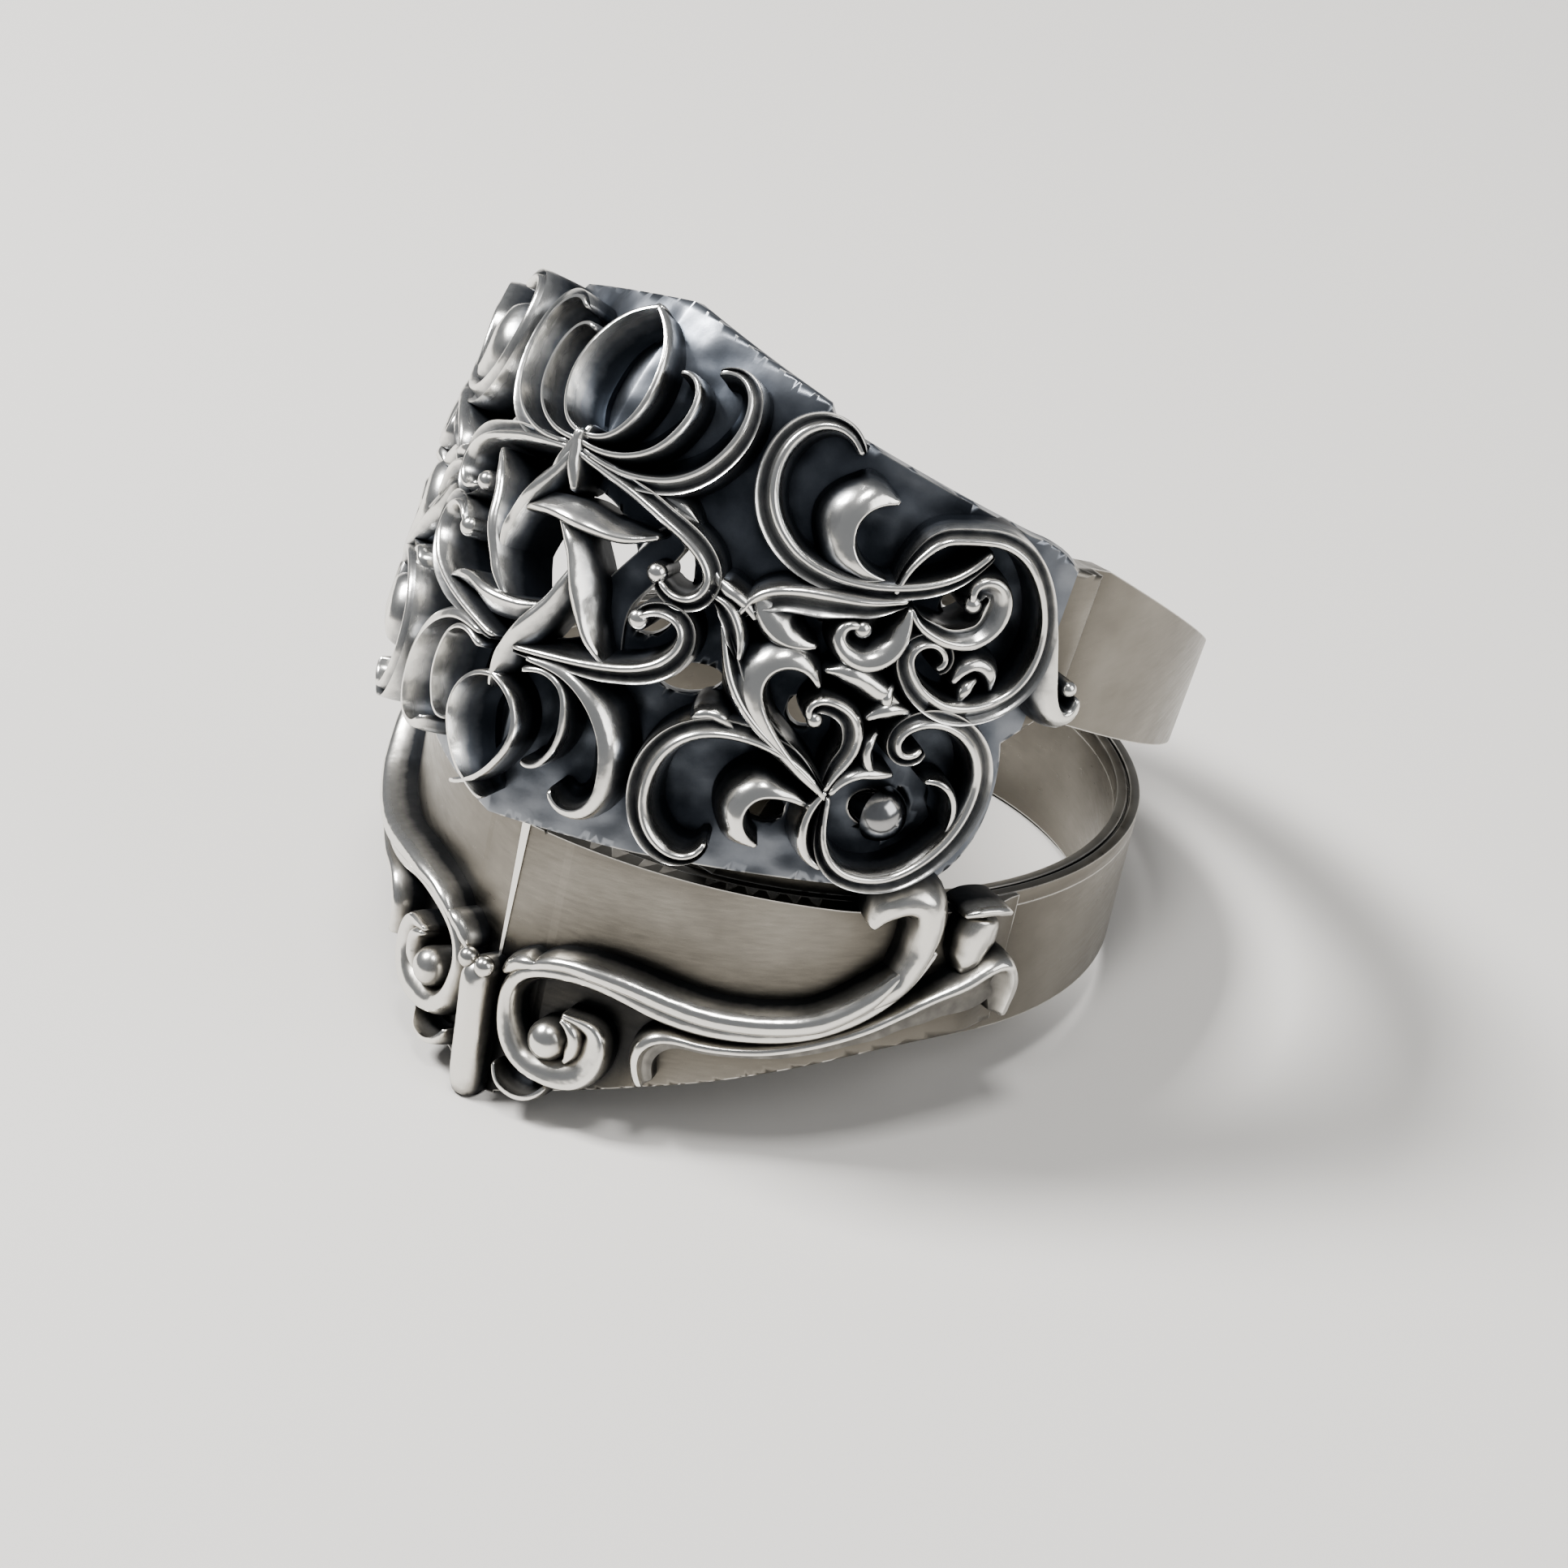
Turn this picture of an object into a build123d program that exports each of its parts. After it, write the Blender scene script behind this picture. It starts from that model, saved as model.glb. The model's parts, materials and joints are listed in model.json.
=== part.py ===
from build123d import *
import os
from math import atan2, cos, degrees, radians, sin, sqrt

# Armor ring in cast silver: a lower ring with a plain keeled plate and scrollwork,
# and an upper ring with a pierced shield that swings on two side rivets.
# Each ring is drawn upright round its own vertical axis, with the finger along Z and
# the front towards -Y, and is then leaned back as it rests.

# Driving dimensions, millimetres and degrees
bore_radius = 10.0
band_wall = 0.75

# Lower ring
lower_rim_front = 3.7        # height of the top rim at the front of the band
lower_rim_back = 5.35        # and at its back
lower_edge_front = -1.1      # height of the bottom edge at the front of the band
lower_edge_back = 1.1        # and at its back
plate_wall = 0.8             # thickness of the front plate outside the band
plate_end_angle = 80.5       # where the plate stops, from the front
rim_groove = (0.32, 0.44)    # groove between the two layers of the rim, out from the bore
rim_groove_depth = 0.15
plate_drop = 5.4             # how far the plate's tip hangs below the ring's origin
plate_keel_rise = 0.3        # how far the keel stands out from a round plate
plate_side_angle = 50.0      # where the keeled front passes into the round sides
plate_bow = 0.85             # sagitta of the keeled front
plate_relief = 0.85          # height of the lower scrollwork
bar_width = 1.45             # the upright bar in the middle, which is also the foot
bar_top = -0.8
bar_top_rise = 1.45          # how far the bar stands out from the plate, at its top
bar_foot_rise = 0.7          # and at its foot
knob_radius = 0.48           # the pair of knobs on top of the bar
drop_radius = 0.75           # the ball inside each volute

# Upper ring
shield_wall = 0.75
shield_relief = 1.05         # height of the shield's scrollwork
shield_bottom = -7.2         # height of the shield's lower point in the ring's frame
shield_height = 16.0
shield_side_step = 1.0       # how far the face of the shield's sides stands out from the band
shield_keel_rise = 2.55      # and its keel from the sides, where it stands out most
shield_side_angle = 55.5     # where the keeled front passes into the round sides
shield_bow = 1.1             # sagitta of the keeled front
shoulder_angle = 72.0        # where the shield's thick side ends on the band
upper_rim_front = 5.15       # height of the upper band's rim beside the shield
upper_rim_side = 4.4         # at the ring's sides
upper_rim_back = 1.5         # and at its back
upper_edge_side = 0.1        # height of its bottom edge at the ring's sides
upper_edge_back = -1.1       # and at its back

# Hinge
hinge_depth_lower = 2.85     # how far the hinge line lies behind the front of the lower ring's bore
hinge_height_lower = 7.25    # and above the lower ring's origin
hinge_depth_upper = 2.4      # the same line behind the front of the upper ring's bore
hinge_height_upper = -3.1    # and above the upper ring's origin
splay_angle = 10.4           # how far the upper ring leans back from the lower one
pin_radius = 0.5
running_clearance = 0.05     # radial, in the shield
press_clearance = 0.02       # radial, in the lug
lug_wall = 0.5
lug_radius = 1.2             # rounded top of the lug, round the pin
lug_foot_width = 4.4
seat_rise = 0.1              # how far the rivet's seat stands out from the shield's side
seat_rim = 0.08              # width of the seat round the head
head_radius = 0.85           # domed rivet head
head_bulge = 0.9             # its height as a share of its radius
head_gap = 0.05              # between the head and its seat
seat_clearance = 0.12        # of the relief round the head

# Views along which the scrollwork of the right half is drawn
upper_view = 36.0
lower_view = 42.0

# Worked out from the sizes above
shield_side_radius = bore_radius + band_wall + shield_side_step
keel_reach = shield_side_radius + shield_keel_rise
hinge_lower = (hinge_depth_lower - bore_radius, hinge_height_lower)
hinge_upper = (hinge_depth_upper - bore_radius, hinge_height_upper)
seat_face = sqrt(shield_side_radius ** 2 - hinge_upper[0] ** 2) + seat_rise

# Rows of the keel: height as a share of the shield, reach as a share of keel_reach
keel_rows = ((0.0, 0.95), (0.26, 0.993), (0.48, 1.0), (0.74, 0.965), (1.0, 0.84))

# Scrolls of the shield's right half: across and up as shares of the shield's half
# width and height, with the width of the scroll in its middle and at its ends
shield_scrolls = {
    "crown loop": (((-0.04, 0.73), (0.06, 0.77), (0.105, 0.84), (0.105, 0.92), (0.02, 0.985)), 0.42, 0.42),
    "crown petal": (((-0.03, 0.735), (0.09, 0.735), (0.17, 0.78), (0.205, 0.86), (0.155, 0.90)), 0.42, 0.3),
    "crown leaf": (((-0.02, 0.71), (0.12, 0.695), (0.25, 0.735), (0.335, 0.81), (0.34, 0.895), (0.26, 0.925)), 0.5, 0.35),
    "upper wave": (((0.0, 0.71), (0.15, 0.675), (0.29, 0.635), (0.375, 0.575), (0.345, 0.525), (0.28, 0.545)), 0.55, 0.4),
    "lower wave": (((-0.02, 0.335), (0.19, 0.36), (0.32, 0.395), (0.365, 0.45), (0.32, 0.49), (0.25, 0.475)), 0.55, 0.4),
    "tail loop": (((-0.06, 0.27), (0.03, 0.24), (0.05, 0.17), (0.02, 0.09), (-0.08, 0.035)), 0.42, 0.42),
    "tail petal": (((-0.02, 0.30), (0.11, 0.30), (0.155, 0.22), (0.13, 0.15), (0.085, 0.14)), 0.42, 0.3),
    "tail leaf": (((0.04, 0.325), (0.22, 0.29), (0.31, 0.20), (0.30, 0.10), (0.18, 0.075)), 0.95, 0.35),
    "shoulder scroll": (((0.60, 0.88), (0.51, 0.90), (0.44, 0.83), (0.455, 0.73), (0.56, 0.665),
                         (0.72, 0.655), (0.88, 0.69), (0.97, 0.77)), 0.6, 0.35),
    "shoulder leaf": (((0.715, 0.815), (0.61, 0.81), (0.585, 0.74), (0.67, 0.685)), 1.1, 0.4),
    "side volute": (((0.82, 0.70), (0.86, 0.78), (0.97, 0.80), (1.10, 0.77), (1.16, 0.67), (1.12, 0.54),
                     (1.00, 0.485), (0.90, 0.51), (0.89, 0.57), (0.95, 0.575)), 0.55, 0.4),
    "side tail": (((1.165, 0.66), (1.185, 0.57), (1.21, 0.51), (1.255, 0.51), (1.27, 0.56)), 0.5, 0.4),
    "side curl": (((0.84, 0.64), (0.91, 0.605), (1.01, 0.615), (1.045, 0.675), (1.01, 0.72), (0.97, 0.70)), 0.55, 0.4),
    "middle leaf": (((0.44, 0.53), (0.50, 0.585), (0.62, 0.615), (0.75, 0.63), (0.84, 0.66)), 0.85, 0.4),
    "middle curl": (((0.81, 0.64), (0.835, 0.57), (0.78, 0.52), (0.71, 0.54), (0.725, 0.585)), 0.55, 0.35),
    "branch": (((0.36, 0.56), (0.46, 0.51), (0.58, 0.48), (0.72, 0.475), (0.92, 0.48)), 0.6, 0.4),
    "leaf stem": (((0.49, 0.50), (0.51, 0.42), (0.60, 0.36), (0.78, 0.28)), 0.75, 0.4),
    "heart curl": (((0.66, 0.475), (0.70, 0.43), (0.78, 0.43), (0.82, 0.37), (0.79, 0.30)), 0.5, 0.35),
    "lower scroll": (((0.56, 0.115), (0.47, 0.075), (0.40, 0.13), (0.395, 0.23), (0.46, 0.305),
                      (0.58, 0.33), (0.71, 0.31), (0.81, 0.26)), 0.6, 0.4),
    "lower leaf": (((0.66, 0.14), (0.575, 0.155), (0.575, 0.225), (0.65, 0.265), (0.76, 0.26)), 0.85, 0.35),
    "rivet scroll": (((0.90, 0.345), (0.835, 0.29), (0.83, 0.20), (0.91, 0.145), (1.02, 0.165), (1.10, 0.25),
                      (1.115, 0.36), (1.05, 0.44), (0.95, 0.445), (0.91, 0.40), (0.96, 0.39)), 0.55, 0.4),
}

# Piercings of the shield's right half: centre across and up, half width and half height
# as the same shares, and the turn of the oval in degrees
shield_piercings = (
    (0.26, 0.53, 0.075, 0.10, 0.0),
    (0.40, 0.385, 0.075, 0.028, 20.0),
    (0.95, 0.66, 0.065, 0.035, 0.0),
    (0.70, 0.578, 0.07, 0.025, 5.0),
    (0.67, 0.395, 0.04, 0.03, -40.0),
    (0.65, 0.205, 0.055, 0.03, 0.0),
    (1.03, 0.565, 0.05, 0.025, 30.0),
)

# Pinwheel in the middle of the shield
pinwheel_height = 0.50       # of its centre, as a share of the shield
pinwheel_radius = 3.9
pinwheel_hole_radius = 2.3
pinwheel_eye = 1.5           # how far the inner end of each blade lies beside the centre
pinwheel_tail = 0.45         # and beyond it
pinwheel_blade_width = 0.8
pinwheel_blades = 6
pinwheel_squeeze = 0.8       # narrowing across, because the wheel lies on both sides of the keel

# Scrolls of the lower plate's right half: across as a share of the plate's width seen
# along lower_view, up as a share of plate_drop, and the widths as above
plate_scrolls = {
    "volute": (((0.02, -0.16), (0.05, -0.09), (0.125, -0.05), (0.205, -0.02)), 0.55, 0.5),
    "volute ring": (((0.105, -0.10), (0.035, -0.25), (0.04, -0.46), (0.085, -0.63), (0.155, -0.665),
                     (0.205, -0.56), (0.21, -0.38), (0.165, -0.28)), 0.5, 0.35),
    "volute crescent": (((0.02, -0.66), (0.055, -0.80), (0.105, -0.82), (0.145, -0.72)), 0.5, 0.3),
    "main scroll": (((0.05, -0.13), (0.145, -0.045), (0.245, -0.015), (0.35, -0.055), (0.46, -0.06), (0.575, 0.0),
                     (0.68, 0.11), (0.755, 0.27), (0.795, 0.47), (0.805, 0.70), (0.78, 0.88)), 1.0, 0.5),
    "main leaf": (((0.80, 0.75), (0.79, 0.90), (0.74, 0.90), (0.69, 0.78), (0.70, 0.66)), 0.75, 0.3),
    "second scroll": (((0.305, -0.42), (0.30, -0.28), (0.37, -0.20), (0.48, -0.17), (0.615, -0.08),
                       (0.75, 0.07), (0.85, 0.25), (0.925, 0.40), (0.985, 0.47)), 0.75, 0.4),
    "third leaf": (((0.85, 0.50), (0.90, 0.58), (0.945, 0.68), (0.945, 0.82)), 1.1, 0.5),
    "bud": (((0.925, 0.38), (0.97, 0.32), (0.985, 0.22)), 0.6, 0.45),
}

# Bottom edge of the lower plate: across and up as the same shares
plate_edge = ((0.0, -1.0), (0.185, -0.745), (0.33, -0.565), (0.45, -0.43), (0.575, -0.28), (0.83, -0.02), (1.03, 0.05))

# Place of the ball inside the volute, across and up as the same shares
drop_place = (0.13, -0.47)

far = 40.0                   # longer than anything that is cut


def tube(inner, outer):
    """Upright pipe round the ring's axis, taller than the ring."""
    return Pos(0, 0, -far / 2) * extrude(Circle(outer) - Circle(inner), far)


def between(y_front, y_back, top, bottom):
    """Block between two slanted planes, given by their heights at y_front and y_back."""
    def at(heights, y):
        return heights[0] + (heights[1] - heights[0]) * (y - y_front) / (y_back - y_front)
    reach = 1.5 * bore_radius
    side = Polyline((-reach, at(top, -reach)), (reach, at(top, reach)), (reach, at(bottom, reach)),
                    (-reach, at(bottom, -reach)), close=True)
    return extrude(Plane.YZ * make_face(side), far, both=True)


def wedge(first_angle, last_angle):
    """Upright sector of the right half, with its angles measured from the front."""
    def ray(angle):
        return far * sin(radians(angle)), -far * cos(radians(angle))
    middle = (first_angle + last_angle) / 2
    outline = Polyline((0, 0), ray(first_angle), ray(middle), ray(last_angle), close=True)
    return Pos(0, 0, -far / 2) * extrude(make_face(outline), far)


def keeled_section(keel, side_radius, side_angle, bow, offset):
    """Right half of a keeled ring's outline, moved outwards by offset."""
    side = Vector(side_radius * sin(radians(side_angle)), -side_radius * cos(radians(side_angle)))
    front = Vector(0, -keel)
    along = (side - front).normalized()
    out = Vector(along.Y, -along.X)
    chord = (side - front).length
    bow_radius = (chord * chord / 4 + bow * bow) / (2 * bow)
    centre = front + along * (chord / 2) + out * (bow - bow_radius)
    radius = bow_radius + offset
    start = Vector(0, centre.Y - sqrt(radius * radius - centre.X * centre.X))
    middle = centre + (front + along * (chord / 2) + out * bow - centre).normalized() * radius
    finish = side * ((side_radius + offset) / side_radius)
    turn = radians((side_angle + 180) / 2)
    round_radius = side_radius + offset
    flank = ThreePointArc(finish, (round_radius * sin(turn), -round_radius * cos(turn)), (0, round_radius))
    return make_face([ThreePointArc(start, middle, finish), flank, Line((0, round_radius), start)])


def shield_body(offset):
    """Everything inside the shield's face moved outwards by offset, right half only."""
    rows = []
    for height, reach in keel_rows:
        section = keeled_section(keel_reach * reach, shield_side_radius, shield_side_angle, shield_bow, offset)
        rows.append(Pos(0, 0, shield_bottom + shield_height * height) * section)
    return loft(rows)


def plate_body(offset):
    """The same for the face of the lower plate."""
    radius = bore_radius + band_wall + plate_wall
    section = keeled_section(radius + plate_keel_rise, radius, plate_side_angle, plate_bow, offset)
    return Pos(0, 0, -far / 2) * extrude(section, far)


def view_plane(view, keel, bottom):
    """Plane through the ring's axis that faces the view, with its origin below the keel."""
    across = Vector(cos(radians(view)), sin(radians(view)))
    toward = Vector(sin(radians(view)), -cos(radians(view)))
    origin = across * (-keel * sin(radians(view))) + Vector(0, 0, bottom)
    return Plane(origin, x_dir=across, z_dir=toward)


def ribbon(points, middle_width, end_width):
    """Flat strip along a smooth line, widest in the middle."""
    line = Spline(*points)
    count = len(points)
    sides = ([], [])
    for index, point in enumerate(points):
        share = line.param_at_point(point)
        tangent = line % share
        across = Vector(-tangent.Y, tangent.X)
        swell = 1 - abs(2 * index / (count - 1) - 1) ** 2
        half = (end_width + (middle_width - end_width) * swell) / 2
        sides[0].append(Vector(*point) + across * half)
        sides[1].append(Vector(*point) - across * half)
    left = Spline(*sides[0])
    right = Spline(*reversed(sides[1]))
    return make_face([left, Line(left @ 1, right @ 0), right, Line(right @ 1, left @ 0)])


def scrollwork(table, width, height, plane):
    """Prism of all scrolls in a table, long enough to pass through the wall."""
    flat = Sketch()
    for points, middle_width, end_width in table.values():
        placed = [(across * width, up * height) for across, up in points]
        flat += ribbon(placed, middle_width, end_width)
    return extrude(plane * flat, far / 2)


def shield_width():
    """Width of the shield's right half, from the keel to its side, seen along upper_view."""
    turn = radians(upper_view)
    side = shield_side_radius * sin(radians(shield_side_angle) - turn)
    return side + keel_reach * sin(turn)


def plate_width():
    """Width of the lower plate's right half seen along lower_view."""
    turn = radians(lower_view)
    radius = bore_radius + band_wall + plate_wall
    return radius * sin(radians(plate_end_angle) - turn) + (radius + plate_keel_rise) * sin(turn)


def shield_outline(plane):
    """Prism of the shield's outline, right half."""
    w = shield_width()
    h = shield_height
    top = [(-0.3, 1.09), (0.11, 1.0), (0.50, 0.925), (0.53, 0.895), (1.03, 0.815)]
    side = [(1.03, 0.815), (1.165, 0.77), (1.205, 0.66)]
    hook = [(1.205, 0.66), (1.215, 0.56), (1.29, 0.56), (1.27, 0.49), (1.19, 0.485), (1.13, 0.43)]
    waist = [(1.13, 0.43), (1.155, 0.33), (1.11, 0.175), (0.98, 0.115)]
    bottom = [(0.98, 0.115), (0.40, 0.04), (0.0, 0.0), (-0.3, -0.02)]
    rows = {"top": top, "side": side, "hook": hook, "waist": waist, "bottom": bottom}
    placed = {name: [(across * w, up * h) for across, up in points] for name, points in rows.items()}
    edges = [Polyline(*placed["top"]), Spline(*placed["side"]), Polyline(*placed["hook"]),
             Spline(*placed["waist"]), Polyline(*placed["bottom"]), Line(placed["bottom"][-1], placed["top"][0])]
    return extrude(plane * make_face(edges), far / 2)


def pierce_tools(plane):
    """Prisms of the oval piercings of the shield's right half."""
    w = shield_width()
    h = shield_height
    tools = []
    for across, up, half_width, half_height, turn in shield_piercings:
        oval = Pos(across * w, up * h) * Rot(Z=turn) * Ellipse(half_width * w, half_height * h)
        tools.append(extrude(plane * oval, far / 2))
    return tools


def pinwheel_blade(turn):
    """One blade of the pinwheel, pointing up, turned round the origin and then narrowed across."""
    def place(point):
        turned = point.rotate(Axis.Z, turn)
        return turned.X * pinwheel_squeeze, turned.Y
    tip = Vector(0, pinwheel_radius)
    foot = Vector(-pinwheel_eye, -pinwheel_tail)
    along = (foot - tip).normalized()
    half = Vector(-along.Y, along.X) * (pinwheel_blade_width / 2)
    middle = (tip + foot) / 2
    right = ThreePointArc(place(tip), place(middle + half), place(foot))
    left = ThreePointArc(place(foot), place(middle - half), place(tip))
    return make_face([right, left])


def pinwheel():
    """Prism of all blades, facing the front."""
    centre = Plane((0, 0, shield_bottom + shield_height * pinwheel_height), x_dir=(1, 0, 0), z_dir=(0, -1, 0))
    flat = Sketch()
    for index in range(pinwheel_blades):
        flat += pinwheel_blade(index * 360 / pinwheel_blades)
    return extrude(centre * flat, far / 2)


def mirrored(part):
    """The same part on the other side of the middle."""
    return mirror(part, Plane.YZ)


def both_sides(half):
    """A right half with its mirror image."""
    return half + mirrored(half)


def pin(radius, start, end, hinge):
    """Cylinder along X on the hinge line, right side."""
    return Pos((start + end) / 2, *hinge) * Rot(Y=90) * Cylinder(radius, end - start)


def make_shield_half(plane, inner):
    """Pierced wall with its scrolls and the rivet's seat, without the pinwheel."""
    wall = (shield_body(0) - inner) & shield_outline(plane)
    for tool in pierce_tools(plane):
        wall -= tool
    centre = (0, 0, shield_bottom + shield_height * pinwheel_height)
    wall -= Pos(*centre) * Rot(X=90) * Cylinder(pinwheel_hole_radius, far, align=(Align.CENTER, Align.CENTER, Align.MIN))
    scrolls = relief_layer() & scrollwork(shield_scrolls, shield_width(), shield_height, plane)
    seat_radius = head_radius + seat_rim
    seat = pin(seat_radius, seat_face - 3 * seat_radius, seat_face, hinge_upper) - inner
    half = wall + scrolls + seat
    half -= pin(head_radius + seat_clearance, seat_face, far, hinge_upper)
    return half - pin(pin_radius + running_clearance, 0, far, hinge_upper)


def relief_layer():
    """Room of the shield's scrollwork, sunk a little into the wall, right half."""
    return shield_body(shield_relief) - shield_body(-shield_wall / 4)


def upper_band():
    """Band behind the shield, and the thick shoulders that join the two."""
    slopes = between(0, bore_radius, (upper_rim_side, upper_rim_back), (upper_edge_side, upper_edge_back))
    slopes &= between(0, bore_radius, (upper_rim_front, upper_rim_front), (-far, -far))
    front = wedge(0, shield_side_angle)
    band = tube(bore_radius, bore_radius + band_wall) - front - mirrored(front)
    shoulder = tube(bore_radius, shield_side_radius) & wedge(shield_side_angle + 1, shoulder_angle)
    return (band & slopes) + both_sides(shoulder & slopes)


def make_upper_ring():
    """Shield, scrollwork and band, one casting."""
    plane = view_plane(upper_view, keel_reach, shield_bottom)
    half = make_shield_half(plane, shield_body(-shield_wall))
    star = pinwheel()
    layer = relief_layer()
    right = half + (layer & star)
    left = mirrored(half) + (mirrored(layer) & star)
    return right + left + upper_band()


def make_lower_ring():
    """Band, plate, scrollwork and lugs, one casting."""
    radius = bore_radius + band_wall
    slope = ((lower_rim_front, lower_rim_back), (lower_edge_front, lower_edge_back))
    band = tube(bore_radius, radius) & between(-radius, radius, *slope)
    groove_floor = (lower_rim_front - rim_groove_depth, lower_rim_back - rim_groove_depth)
    groove = tube(bore_radius + rim_groove[0], bore_radius + rim_groove[1])
    band -= groove & between(-radius, radius, (far, far), groove_floor)
    plane = view_plane(lower_view, radius + plate_wall + plate_keel_rise, 0)
    w = plate_width()
    edge = [(across * w, up * plate_drop) for across, up in plate_edge]
    outline = make_face([Spline(*edge), Polyline(edge[-1], (w * 1.2, edge[-1][1]), (w * 1.2, far / 2),
                                                  (-w * 0.3, far / 2), (-w * 0.3, edge[0][1]), edge[0])])
    region = extrude(plane * outline, far / 2)
    below_rim = between(-radius, radius, slope[0], (-far, -far))
    sector = wedge(0, plate_end_angle)
    plate = (plate_body(0) - Pos(0, 0, -far / 2) * Cylinder(radius - 0.05, far * 2)) & region & below_rim & sector
    layer = plate_body(plate_relief) - plate_body(-plate_wall / 4)
    scrolls = layer & scrollwork(plate_scrolls, w, plate_drop, plane) & sector & below_rim
    drop = layer & extrude(plane * Pos(drop_place[0] * w, drop_place[1] * plate_drop) * Circle(drop_radius), far / 2)
    half = plate + scrolls + drop
    keel = radius + plate_wall + plate_keel_rise
    side = Polyline((-keel + plate_wall / 2, bar_top), (-keel - bar_top_rise, bar_top - knob_radius),
                    (-keel - bar_foot_rise, -plate_drop), (-keel + plate_wall / 2, -plate_drop), close=True)
    bar = extrude(Plane.YZ * make_face(side), bar_width / 2, both=True)
    ground = between(-foot_front(), radius, (-plate_drop, lower_edge_back), (-far, -far))
    front = both_sides(half) + bar - ground
    knob = Pos(bar_width / 2 - knob_radius / 3, -keel - bar_top_rise / 2, bar_top) * Sphere(knob_radius)
    return front + band + both_sides(knob) + both_sides(make_lug())


def make_lug():
    """Ear that rises from the lower band behind the shield and carries the pin."""
    y, z = hinge_lower
    foot = lower_rim_front - band_wall
    flare = Polyline((y - lug_foot_width / 2, foot), (y + lug_foot_width / 2, foot), (y + lug_radius, z),
                     (y - lug_radius, z), close=True)
    profile = make_face(flare) + Pos(y, z) * Circle(lug_radius)
    ear = extrude(Plane.YZ * profile, far) & tube(bore_radius, bore_radius + lug_wall)
    return ear - pin(pin_radius + press_clearance, 0, far, hinge_lower)


def make_rivet():
    """Pin with a domed head outside the shield and its inner end flush with the bore."""
    head_start = seat_face + head_gap
    head = Pos(head_start + head_radius * (head_bulge - 1), *hinge_lower) * Rot(Y=90) * Sphere(head_radius)
    head &= Pos(head_start, *hinge_lower) * Box(far, far, far, align=(Align.MIN, Align.CENTER, Align.CENTER))
    shank = pin(pin_radius, 0, head_start + head_radius / 2, hinge_lower)
    shank -= Cylinder(bore_radius, far)
    return head + shank


def foot_front():
    """Distance of the foot's front edge from the lower ring's axis."""
    return bore_radius + band_wall + plate_wall + plate_keel_rise + bar_foot_rise


def rest_tilt():
    """Lean of the lower ring that stands on its foot and the back of its band."""
    return degrees(atan2(lower_edge_back + plate_drop, bore_radius + band_wall + foot_front()))


def make_parts():
    """All solids as they rest, centred over the origin and standing on z = 0."""
    lean = Rot(X=-rest_tilt())
    splay = Pos(0, *hinge_lower) * Rot(X=-splay_angle) * Pos(0, -hinge_upper[0], -hinge_upper[1])
    rivet = make_rivet()
    parts = {
        "lower_ring": lean * make_lower_ring(),
        "upper_ring": lean * splay * make_upper_ring(),
        "rivet_right": lean * rivet,
        "rivet_left": lean * mirror(rivet, Plane.YZ),
    }
    box = parts["lower_ring"].bounding_box().add(parts["upper_ring"].bounding_box())
    place = Pos(0, -box.center().Y, -box.min.Z)
    return {name: place * part for name, part in parts.items()}


def main():
    os.makedirs("parts", exist_ok=True)
    for name, part in make_parts().items():
        export_step(part, f"parts/{name}.step")
        print(name, len(part.solids()), round(part.volume, 1))


main()
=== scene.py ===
import json
from math import atan2, cos, pi, radians, sin
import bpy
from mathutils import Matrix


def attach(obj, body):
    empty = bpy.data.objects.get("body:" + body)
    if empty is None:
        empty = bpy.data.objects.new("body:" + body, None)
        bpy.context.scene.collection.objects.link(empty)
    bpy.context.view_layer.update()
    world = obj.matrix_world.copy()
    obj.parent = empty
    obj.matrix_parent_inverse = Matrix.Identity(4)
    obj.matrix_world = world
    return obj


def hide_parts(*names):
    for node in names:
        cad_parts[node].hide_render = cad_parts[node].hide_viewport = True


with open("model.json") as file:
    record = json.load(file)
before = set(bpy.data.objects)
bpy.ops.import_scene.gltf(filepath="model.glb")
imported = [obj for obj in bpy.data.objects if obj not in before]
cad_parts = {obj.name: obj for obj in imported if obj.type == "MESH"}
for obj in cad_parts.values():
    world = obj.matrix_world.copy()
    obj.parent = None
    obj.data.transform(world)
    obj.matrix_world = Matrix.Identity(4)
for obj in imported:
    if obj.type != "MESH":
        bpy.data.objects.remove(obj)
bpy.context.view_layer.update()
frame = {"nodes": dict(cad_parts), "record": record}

from types import SimpleNamespace

import bmesh
import bpy
import numpy as np
from mathutils import Matrix, Vector

# Armor ring in cast silver. Relief is worked out in each ring's own frame, with the finger along Z
# and the front towards -Y. Lengths are in millimetres and angles in degrees, if nothing else is said.
MM = 0.001

# Both rings
bore_radius = 10.0
band_wall = 0.75
splay_angle = 10.4  # the upper ring leans back from the lower one
hinge_lower = (-7.15, 7.25)  # y and z of the hinge line in the lower ring's frame
hinge_upper = (-7.6, -3.1)  # and in the upper ring's frame

# Lower ring
plate_wall = 0.8
plate_keel_rise = 0.3
plate_drop = 5.4  # from the ring's origin down to the foot of the bar
lower_edge_back = 1.1  # height of the band's lower edge at the back
lower_rim_front = 3.7  # height of the rim at the front
lower_rim_back = 5.35  # and at the back
bar_foot_rise = 0.7
bar_top = -0.8

# Shield of the upper ring
shield_bottom = -7.2
shield_height = 16.0
shield_radius = 11.75
shield_wall = 0.75
lug_wall = 0.5
keel_rows = ((0.0, 0.95), (0.26, 0.993), (0.48, 1.0), (0.74, 0.965), (1.0, 0.84))
side_start = 67.0  # angle beyond which the upper ring is plain satin band
inward_share = 0.8  # how straight inwards a face looks where it is satin too

# Searches for places on a face
chart_far = 30.0  # how far outside one starts
shift_far = 3.0  # and how far off one along the line of sight does
halvings = 40  # steps of each
unrolled_reach = 1.2  # radians over which the shield is unrolled from its keel
unrolled_steps = 200

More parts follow.
